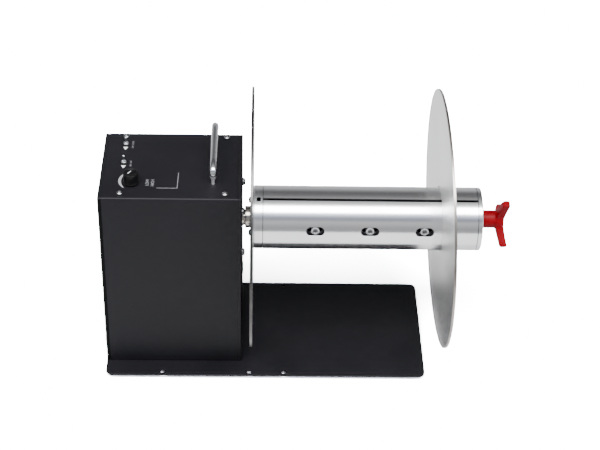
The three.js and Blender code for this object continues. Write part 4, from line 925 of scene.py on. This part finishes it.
def shell_grids(ends, centres, turn_degrees):
    """The surface of one shell: a cell round each slot, and strips for its long edges and its ends."""
    half = math.pi / SHELLS - SLIT / 2 / SHELL_R
    borders = [ends[0]] + [(a + b) / 2 for a, b in zip(centres, centres[1:])] + [ends[1]]
    first, second, third, total = np.cumsum([SIDE_POINTS, LONG_POINTS, SIDE_POINTS, LONG_POINTS])
    grids = []
    for centre, x0, x1 in zip(centres, borders, borders[1:]):
        at_start, at_end = x0 == ends[0], x1 == ends[1]
        rim = box_loop(x0 + SHELL_EDGE * at_start, x1 - SHELL_EDGE * at_end, half - SHELL_EDGE / SHELL_R)
        mouth = slot_loop(centre, SLOT_LONG + 2 * MOUTH_BEVEL, SLOT_WIDE + 2 * MOUTH_BEVEL, SHELL_R)
        boss = box_loop(centre - BOSS_HALF_LONG, centre + BOSS_HALF_LONG, BOSS_HALF_ANGLE)
        hidden = box_loop(x0, x1, half)
        slot, ledge = (SLOT_LONG, SLOT_WIDE), (LEDGE_LONG, LEDGE_WIDE)
        walls = [(slot, r) for r in (SHELL_R - MOUTH_BEVEL, LEDGE_R + 2, LEDGE_R)] + [(ledge, LEDGE_R), (ledge, BOSS_R)]
        steps = [(mixed(rim, mouth, np.linspace(0, 1, FACE_STEPS)[:, None] ** FACE_CROWDING), SHELL_R),
                 *((slot_loop(centre, *size, r), r) for size, r in walls), (boss, BOSS_R), (boss, SHELL_BORE),
                 (mixed(boss, hidden, np.linspace(0, 1, 9)[1:, None]), SHELL_BORE)]
        cell = np.concatenate([on_cylinder(x, a, r, turn_degrees).reshape(-1, total, 3) for (x, a), r in steps])
        grids.append(cell)
        corner = on_cylinder(*hidden, SHELL_R - SHELL_EDGE, turn_degrees)
        edge = np.stack([cell[0], corner, cell[-1]])
        open_edges = [(first, second), (third, total)] + [(second, third)] * at_start + [(0, first)] * at_end
        grids += [(edge[:, np.arange(low, high + 1) % total], False, False) for low, high in open_edges]
    return grids


def straighten_shading(piece):
    """Corners of the outer face get the cylinder's own normal, straight out from the spindle axis. An
    average of uneven faces is a little off, which a mirror-like surface shows as a ragged reflection."""
    mesh = piece.data
    corner = values(mesh.loops, "vertex_index", kind=int)
    out = (values(mesh.vertices, "co", 3) - AXIS) * (0, 1, 1)
    radius = np.linalg.norm(out, axis=1)
    first = values(mesh.polygons, "loop_start", kind=int)
    on_face = np.minimum.reduceat((radius > (SHELL_R - 0.02) * MM)[corner], first)
    counts = np.diff(np.append(first, len(corner)))
    mesh.normals_split_custom_set((out / radius[:, None])[corner] * np.repeat(on_face, counts)[:, None])


ring_x, hub_x = span("mandrel_end_ring"), span("rear_hub")
shell_x = (hub_x[1] + SHELL_GAP, ring_x[0] - SHELL_GAP)
screw_x = [middle(f"guide_screw_1_{j}")[0] / MM for j in (1, 2, 3)]
shell_turns = [SHELL_ANGLE - 360 / SHELLS * number for number in range(SHELLS)]
for number, shell_turn in enumerate(shell_turns, 1):
    piece = dress(f"mandrel_shell_{number}", *shell_grids(shell_x, screw_x, shell_turn))
    # Every face below the shell's outer face, in the slots, along the slits and on the chamfers, is painted shade in a
    # darker aluminium.
    second_finish(piece, "painted_shade_aluminium", round_axis(piece)[1] < SHELL_R - 0.1)
    straighten_shading(piece)
print("shells", [round(v, 1) for v in shell_x], "with", len(piece.data.polygons), "faces each")

# %% Hub and end ring
SPIGOT_R, HUB_SPIGOT_END, RING_SPIGOT_START, RIM_R, SEAM_WIDE = 30.6, -46.0, 197.0, 36.95, 0.28
SCREW_HOLE, HOLE_DEEP_R, SCREW_ANGLE = 2.9, 20.0, 109.5
BAND = (hub_x[0] + 1.1, hub_x[1] - 0.3)
DRAW_TUBE_R, DRAW_HOLE_R = 14.0, 12.3
CELL_STEPS = 12


def hub_with_hole(low, high, left, right):
    """The hub as three surfaces: its section turned all round except for its outer band, that band
    for most of the way round, and a cell over the rest of it, which runs into a round screw hole."""
    centre, half = (left + right) / 2, (right - left) / 2
    section = softened([(SHELL_R, right), (RIM_R, high), (SPIGOT_R, high), (SPIGOT_R, HUB_SPIGOT_END),
                        (DRAW_TUBE_R, HUB_SPIGOT_END), (SHAFT_HOLE, HUB_SPIGOT_END + 0.1), (SHAFT_HOLE, low),
                        (36.3, low), (SHELL_R, left)], 0.15)
    step = 2 * np.pi / DISC_STEPS
    side = np.linspace(-1, 1, CELL_STEPS + 1)
    rest = on_cylinder(section[:, 1:], np.arange(DISC_STEPS)[None] * step, section[:, :1], SCREW_ANGLE)
    band_angle = np.arange(CELL_STEPS // 2, DISC_STEPS - CELL_STEPS // 2 + 1) * step
    band = on_cylinder((centre + half * side)[:, None], band_angle[None], SHELL_R, SCREW_ANGLE)
    side, flat = side[:-1], np.ones(CELL_STEPS)
    along, across = np.concatenate([side, flat, -side, -flat]), np.concatenate([-flat, side, flat, -side])
    angle = np.arctan2(across, along)
    rows = [on_cylinder(centre + half * along, across * CELL_STEPS / 2 * step, SHELL_R, SCREW_ANGLE)]
    for radius, height in ((SCREW_HOLE + 0.4, SHELL_R), (SCREW_HOLE + 0.1, SHELL_R - 0.3),
                           (SCREW_HOLE + 0.1, HOLE_DEEP_R), (0.0, HOLE_DEEP_R)):
        rows.append(on_cylinder(centre + radius * np.cos(angle), np.arcsin(radius * np.sin(angle) / height),
                                height, SCREW_ANGLE))
    return rest, (band, False, False), np.stack(rows)


hub = dress("rear_hub", *hub_with_hole(*hub_x, *BAND))
along, away = round_axis(hub)
in_hole = (away > DRAW_TUBE_R + 1) & (away < SHELL_R - SHELL_EDGE) & (np.abs(along - sum(BAND) / 2) < SCREW_HOLE + 0.3)
in_seam = (away > SPIGOT_R + 0.2) & (along > hub_x[1] - SEAM_WIDE)
# The black inside the screw hole and on the chamfer at the seam to the shells is painted shade.
second_finish(hub, "black_oxide_and_painted_shade", in_hole | in_seam)
end_ring = lathe("mandrel_end_ring", ring_of([
    (DRAW_HOLE_R, RING_SPIGOT_START), (SPIGOT_R, RING_SPIGOT_START), (SPIGOT_R, ring_x[0]), (RIM_R, ring_x[0]),
    (SHELL_R, ring_x[0] + 0.3), (SHELL_R, ring_x[1] - 0.8), (SHELL_R - 0.8, ring_x[1]), (DRAW_HOLE_R, ring_x[1])], 0.2),
    "x", DISC_STEPS)
along, away = round_axis(end_ring)
# The end ring's chamfer at the seam to the shells is painted black as shade.
second_finish(end_ring, "black_oxide_and_painted_shade", (away > SPIGOT_R + 0.2) & (along < ring_x[0] + SEAM_WIDE))
print(in_hole.sum(), "faces of the hub are inside the screw hole")

# %% The screws in the slots and the set screw in the hub
HEAD_R, HEAD_H, HEAD_SOCKET_R, SEAT, SHANK_R, SHANK_END = 5.0, 4.6, 2.5, 31.0, 2.9, 14.0
SET_R, SET_SOCKET_R, SET_START, SET_END = 2.75, 1.9, 6.2, 31.0

top = SEAT + HEAD_H
cap_head = [(0, SHANK_END), (2.4, SHANK_END), (SHANK_R, SHANK_END + 0.6), (SHANK_R, SEAT - 0.1), (SHANK_R + 0.1, SEAT),
            (HEAD_R - 0.2, SEAT), (HEAD_R, SEAT + 0.2), (HEAD_R, top - 0.9), (4.75, top - 0.3), (4.2, top), (3.3, top),
            (3.0, top - 0.15), (HEAD_SOCKET_R, top - 0.55), (HEAD_SOCKET_R, top - 2.6), (0, top - 3.1)]
cap_six = [0] * 12 + [1, 1, 0]
for i, shell_turn in enumerate(shell_turns, 1):
    for j, x in enumerate(screw_x, 1):
        upright = turned(cap_head, (x * MM, AXIS[1], AXIS[2]), "z", 48, cap_six)
        piece = dress(f"guide_screw_{i}_{j}", rotated(upright, shell_turn - 90))
        heart = rotated(face_middles(piece) * MM, 90 - shell_turn) / MM - (x, *AXIS[1:] / MM)
        in_socket = (np.hypot(heart[:, 0], heart[:, 1]) < HEAD_SOCKET_R + 0.45) & (heart[:, 2] > SEAT + 0.5)
        # The socket of each head and its rim are painted shade in a darker aluminium.
        second_finish(piece, "painted_shade_aluminium", in_socket)
set_screw = [(0, SET_START), (2.2, SET_START), (SET_R, SET_START + 0.7), (SET_R, SET_END - 0.4), (2.4, SET_END),
             (SET_SOCKET_R, SET_END), (SET_SOCKET_R, SET_END - 4), (0, SET_END - 4.6)]
upright = turned(set_screw, (middle("hub_set_screw")[0], AXIS[1], AXIS[2]), "z", 48, [0] * 5 + [1, 1, 0])
dress("hub_set_screw", rotated(upright, SCREW_ANGLE - 90), material=finish["black_oxide_and_painted_shade"])
print("nine socket screws, heads", HEAD_R * 2, "mm across")

# %% [markdown]
# ## The lock knob
#
# The knob is moulded in one piece: a round hub, and three arms that lean away from the mandrel. Seen
# along its axis its outline is a star, so each of its rings has the star's radius at each angle. The
# same rings go up the hub, out along the back of the arms, over the rounded edge and back across
# the front to the middle.

# %% The three-armed knob
KNOB_TIP, KNOB_ROOT_HALF, KNOB_TIP_HALF, KNOB_VALLEY, KNOB_HUB = 33.4, 5.9, 4.4, 10.9, 10.5
KNOB_ANGLE, KNOB_RISE, KNOB_BACK, KNOB_FRONT, KNOB_EDGE = 109.3, 6.0, 17.0, 26.2, 2.0
TIP_POWER, VALLEY_POWER, LEAN_POWER, EDGE_POWER = 14.0, 6.0, 1.25, 0.6
BACK_RISE, FILLET, FILLET_REACH, NEVER_ZERO = 1.2, 1.6, 1.2, 1e-4


def star_radius(angle):
    """How far the outline is from the axis: the side of an arm is at half its width over the sine of
    the angle from the arm's middle, its end is flat, and the valley between two arms is round."""
    away = np.abs((angle + np.pi / 3) % (2 * np.pi / 3) - np.pi / 3)
    sine, half = np.maximum(np.sin(away), NEVER_ZERO), KNOB_ROOT_HALF
    for _ in range(3):
        half = np.interp(half / sine, [KNOB_VALLEY, KNOB_TIP], [KNOB_ROOT_HALF, KNOB_TIP_HALF])
    side = half / sine
    end = KNOB_TIP / np.cos(away)
    arm = (side ** -TIP_POWER + end ** -TIP_POWER) ** (-1 / TIP_POWER)
    return (arm ** VALLEY_POWER + KNOB_VALLEY ** VALLEY_POWER) ** (1 / VALLEY_POWER)


def lean_out(radius):
    """How far the arms have come forward at a radius: nothing at the axis, all of it at the tips."""
    return KNOB_RISE * (np.clip(radius, 0, KNOB_TIP) / KNOB_TIP) ** LEAN_POWER


angle = np.linspace(0, 2 * np.pi, 720, endpoint=False)
star = star_radius(angle)
rows = [(0, 0), (KNOB_HUB - 1.0, 0), (KNOB_HUB - 0.3, 0.25), (KNOB_HUB, 1.0), (KNOB_HUB, KNOB_BACK - 2.0)]
back_reach = np.maximum(star - KNOB_EDGE, KNOB_HUB + 0.05)
for share in np.linspace(0, 1, 16):
    radius = KNOB_HUB + (back_reach - KNOB_HUB) * share
    fillet = FILLET * np.exp(-(radius - KNOB_HUB) / FILLET_REACH)
    rows.append((radius, KNOB_BACK + lean_out(radius) * BACK_RISE - fillet))
back, front = KNOB_BACK + lean_out(star) * BACK_RISE, KNOB_FRONT + lean_out(star)
for turn_by in np.radians(np.linspace(15, 165, 9)):
    rows.append((back_reach + (star - back_reach) * np.sin(turn_by) ** EDGE_POWER,
                 back + (front - back) * (1 - np.cos(turn_by)) / 2))
for share in np.linspace(1, 0, 18):
    rows.append((back_reach * share, KNOB_FRONT + lean_out(back_reach * share)))
radii, places = (np.stack([np.broadcast_to(row[i], angle.shape) for row in rows]) for i in (0, 1))
dress("lock_knob", on_cylinder(places + span("lock_knob")[0], angle[None], radii, KNOB_ANGLE), sharp_degrees=40)
print("knob tips reach", round(float(star.max()), 1), "mm")

# %% [markdown]
# ## Floor and light
#
# The machine was photographed on a white sweep, under one large soft light, in a room that is darker
# than both. Bright metal shows all of that: the white band along the mandrel is the soft light, the
# grey bands beside it are the room, and its pale underside is the floor. The sweep is so bright in
# such a photo that it turns pure white, so for the camera itself it is made brighter than for the
# reflections. Its shadows stay, because it is still lit paper and not a glowing card. A dark sheet
# on it, hidden by the plate, is painted shade that gives the plate's rear holes a dark ground.

# %% Floor
FLOOR_X, FLOOR_FRONT, FLOOR_BACK = 4.0, -0.62, 4.0
PAINTED_SHADE_MARGIN, PAINTED_SHADE_QUAD = 9.0, 4
PAPER, PAPER_FOR_CAMERA = (0.58, 0.58, 0.58, 1), (9.0, 9.0, 9.0, 1)


def for_camera(tree, output, seen, other):
    """Joins two shaders: `seen` is what the camera looks at, `other` is what lights and reflects."""
    path = add_node(tree, "LightPath")
    mix = add_node(tree, "MixShader", Fac=path.outputs["Is Camera Ray"])
    feed(tree, mix, {1: other.outputs[0], 2: seen.outputs[0]})
    tree.links.new(mix.outputs["Shader"], output)


floor_mesh = bpy.data.meshes.new("floor")
floor_x = [-FLOOR_X, (plate_x[0] + PAINTED_SHADE_MARGIN) * MM, (plate_x[1] - PAINTED_SHADE_MARGIN) * MM, FLOOR_X]
floor_y = [FLOOR_FRONT, sum(plate_y) / 2 * MM, (plate_y[1] + PAINTED_SHADE_MARGIN) * MM, FLOOR_BACK]
corners = np.stack(np.meshgrid(floor_x, floor_y, [0.0], indexing="ij"), -1).reshape(-1, 3)
floor_mesh.from_pydata(corners, [], grid_quads(4, 4, False, False)[:, ::-1])
paper = bpy.data.materials.new("white_sweep")
paper.use_nodes = True
tree = paper.node_tree
tree.nodes.remove(tree.nodes["Principled BSDF"])
for_camera(tree, tree.nodes["Material Output"].inputs["Surface"],
           add_node(tree, "BsdfDiffuse", Color=PAPER_FOR_CAMERA), add_node(tree, "BsdfDiffuse", Color=PAPER))
floor_mesh.materials.append(paper)
# The quad under the plate is a dark sheet of painted shade, seen through the plate's rear holes.
floor_mesh.materials.append(finish["foot_rubber_and_painted_shade"])
floor_mesh.polygons[PAINTED_SHADE_QUAD].material_index = 1
in_scene("floor", floor_mesh)
print("floor from", FLOOR_FRONT, "to", FLOOR_BACK, "m")

# %% The room: its brightness by the angle over the front, through the ceiling, to the back
ROOM = [(-40, 0.40), (-2, 0.42), (20, 0.70), (31, 0.27), (40, 0.62), (50, 1.3), (80, 1.3), (88, 0.7), (104, 0.42),
        (122, 0.19), (136, 0.12), (148, 0.19), (160, 0.45), (180, 0.75)]
BLUE_FROM, BLUE_TO, BLUE, FAINT_BLUE = 30, 60, 0.15, 0.012
ROOM_WHITE = 14.0


def calculate(tree, operation, *terms):
    """The result of a math node on these numbers or sockets."""
    node = tree.nodes.new("ShaderNodeMath")
    node.operation = operation
    return feed(tree, node, dict(enumerate(terms))).outputs["Value"]


world = bpy.data.worlds.new("studio")
world.use_nodes = True
tree = world.node_tree
look = add_node(tree, "SeparateXYZ", Vector=add_node(tree, "TexCoord").outputs["Generated"]).outputs
around_x = calculate(tree, "ARCTAN2", look["Z"], calculate(tree, "MULTIPLY", look["Y"], -1.0))
ramp = add_node(tree, "ValToRGB", Fac=calculate(tree, "MULTIPLY_ADD", around_x, 0.5 / math.pi, 0.5))
stops = ramp.color_ramp.elements
while len(stops) < len(ROOM):
    stops.new(0.5)
for stop, (degrees, level) in zip(stops, ROOM):
    stop.position = degrees / 360 + 0.5
    blue = BLUE if BLUE_FROM < degrees < BLUE_TO else FAINT_BLUE
    stop.color = (level * (1 - blue), level * (1 - blue / 2), level * (1 + blue), 1)
for_camera(tree, tree.nodes["World Output"].inputs["Surface"], add_node(tree, "Background", Strength=ROOM_WHITE),
           feed(tree, tree.nodes["Background"], {"Color": ramp.outputs["Color"]}))
bpy.context.scene.world = world
print("room of", len(ROOM), "tones")

# %% The soft light: a rectangle, seen from the mandrel between two heights in degrees over the front
LIGHT_MIDDLE, LIGHT_LOW, LIGHT_HIGH = math.radians(65.5), math.radians(54), math.radians(77)
LIGHT_DISTANCE, LIGHT_WIDE, LIGHT_LEVEL = 2.6, 4.3, 20.0

data = bpy.data.lights.new("overhead", "AREA")
data.shape = "RECTANGLE"
data.size = LIGHT_WIDE
data.size_y = 2 * LIGHT_DISTANCE * math.tan((LIGHT_HIGH - LIGHT_LOW) / 2)
data.energy = LIGHT_LEVEL * math.pi * data.size * data.size_y
lamp = in_scene("overhead", data)
target = Vector(AXIS)
lamp.location = target + LIGHT_DISTANCE * Vector((0, -math.cos(LIGHT_MIDDLE), math.sin(LIGHT_MIDDLE)))
lamp.rotation_euler = (target - lamp.location).to_track_quat("-Z", "Y").to_euler()
print("soft light", round(data.size_y, 2), "m deep,", round(data.energy), "W")
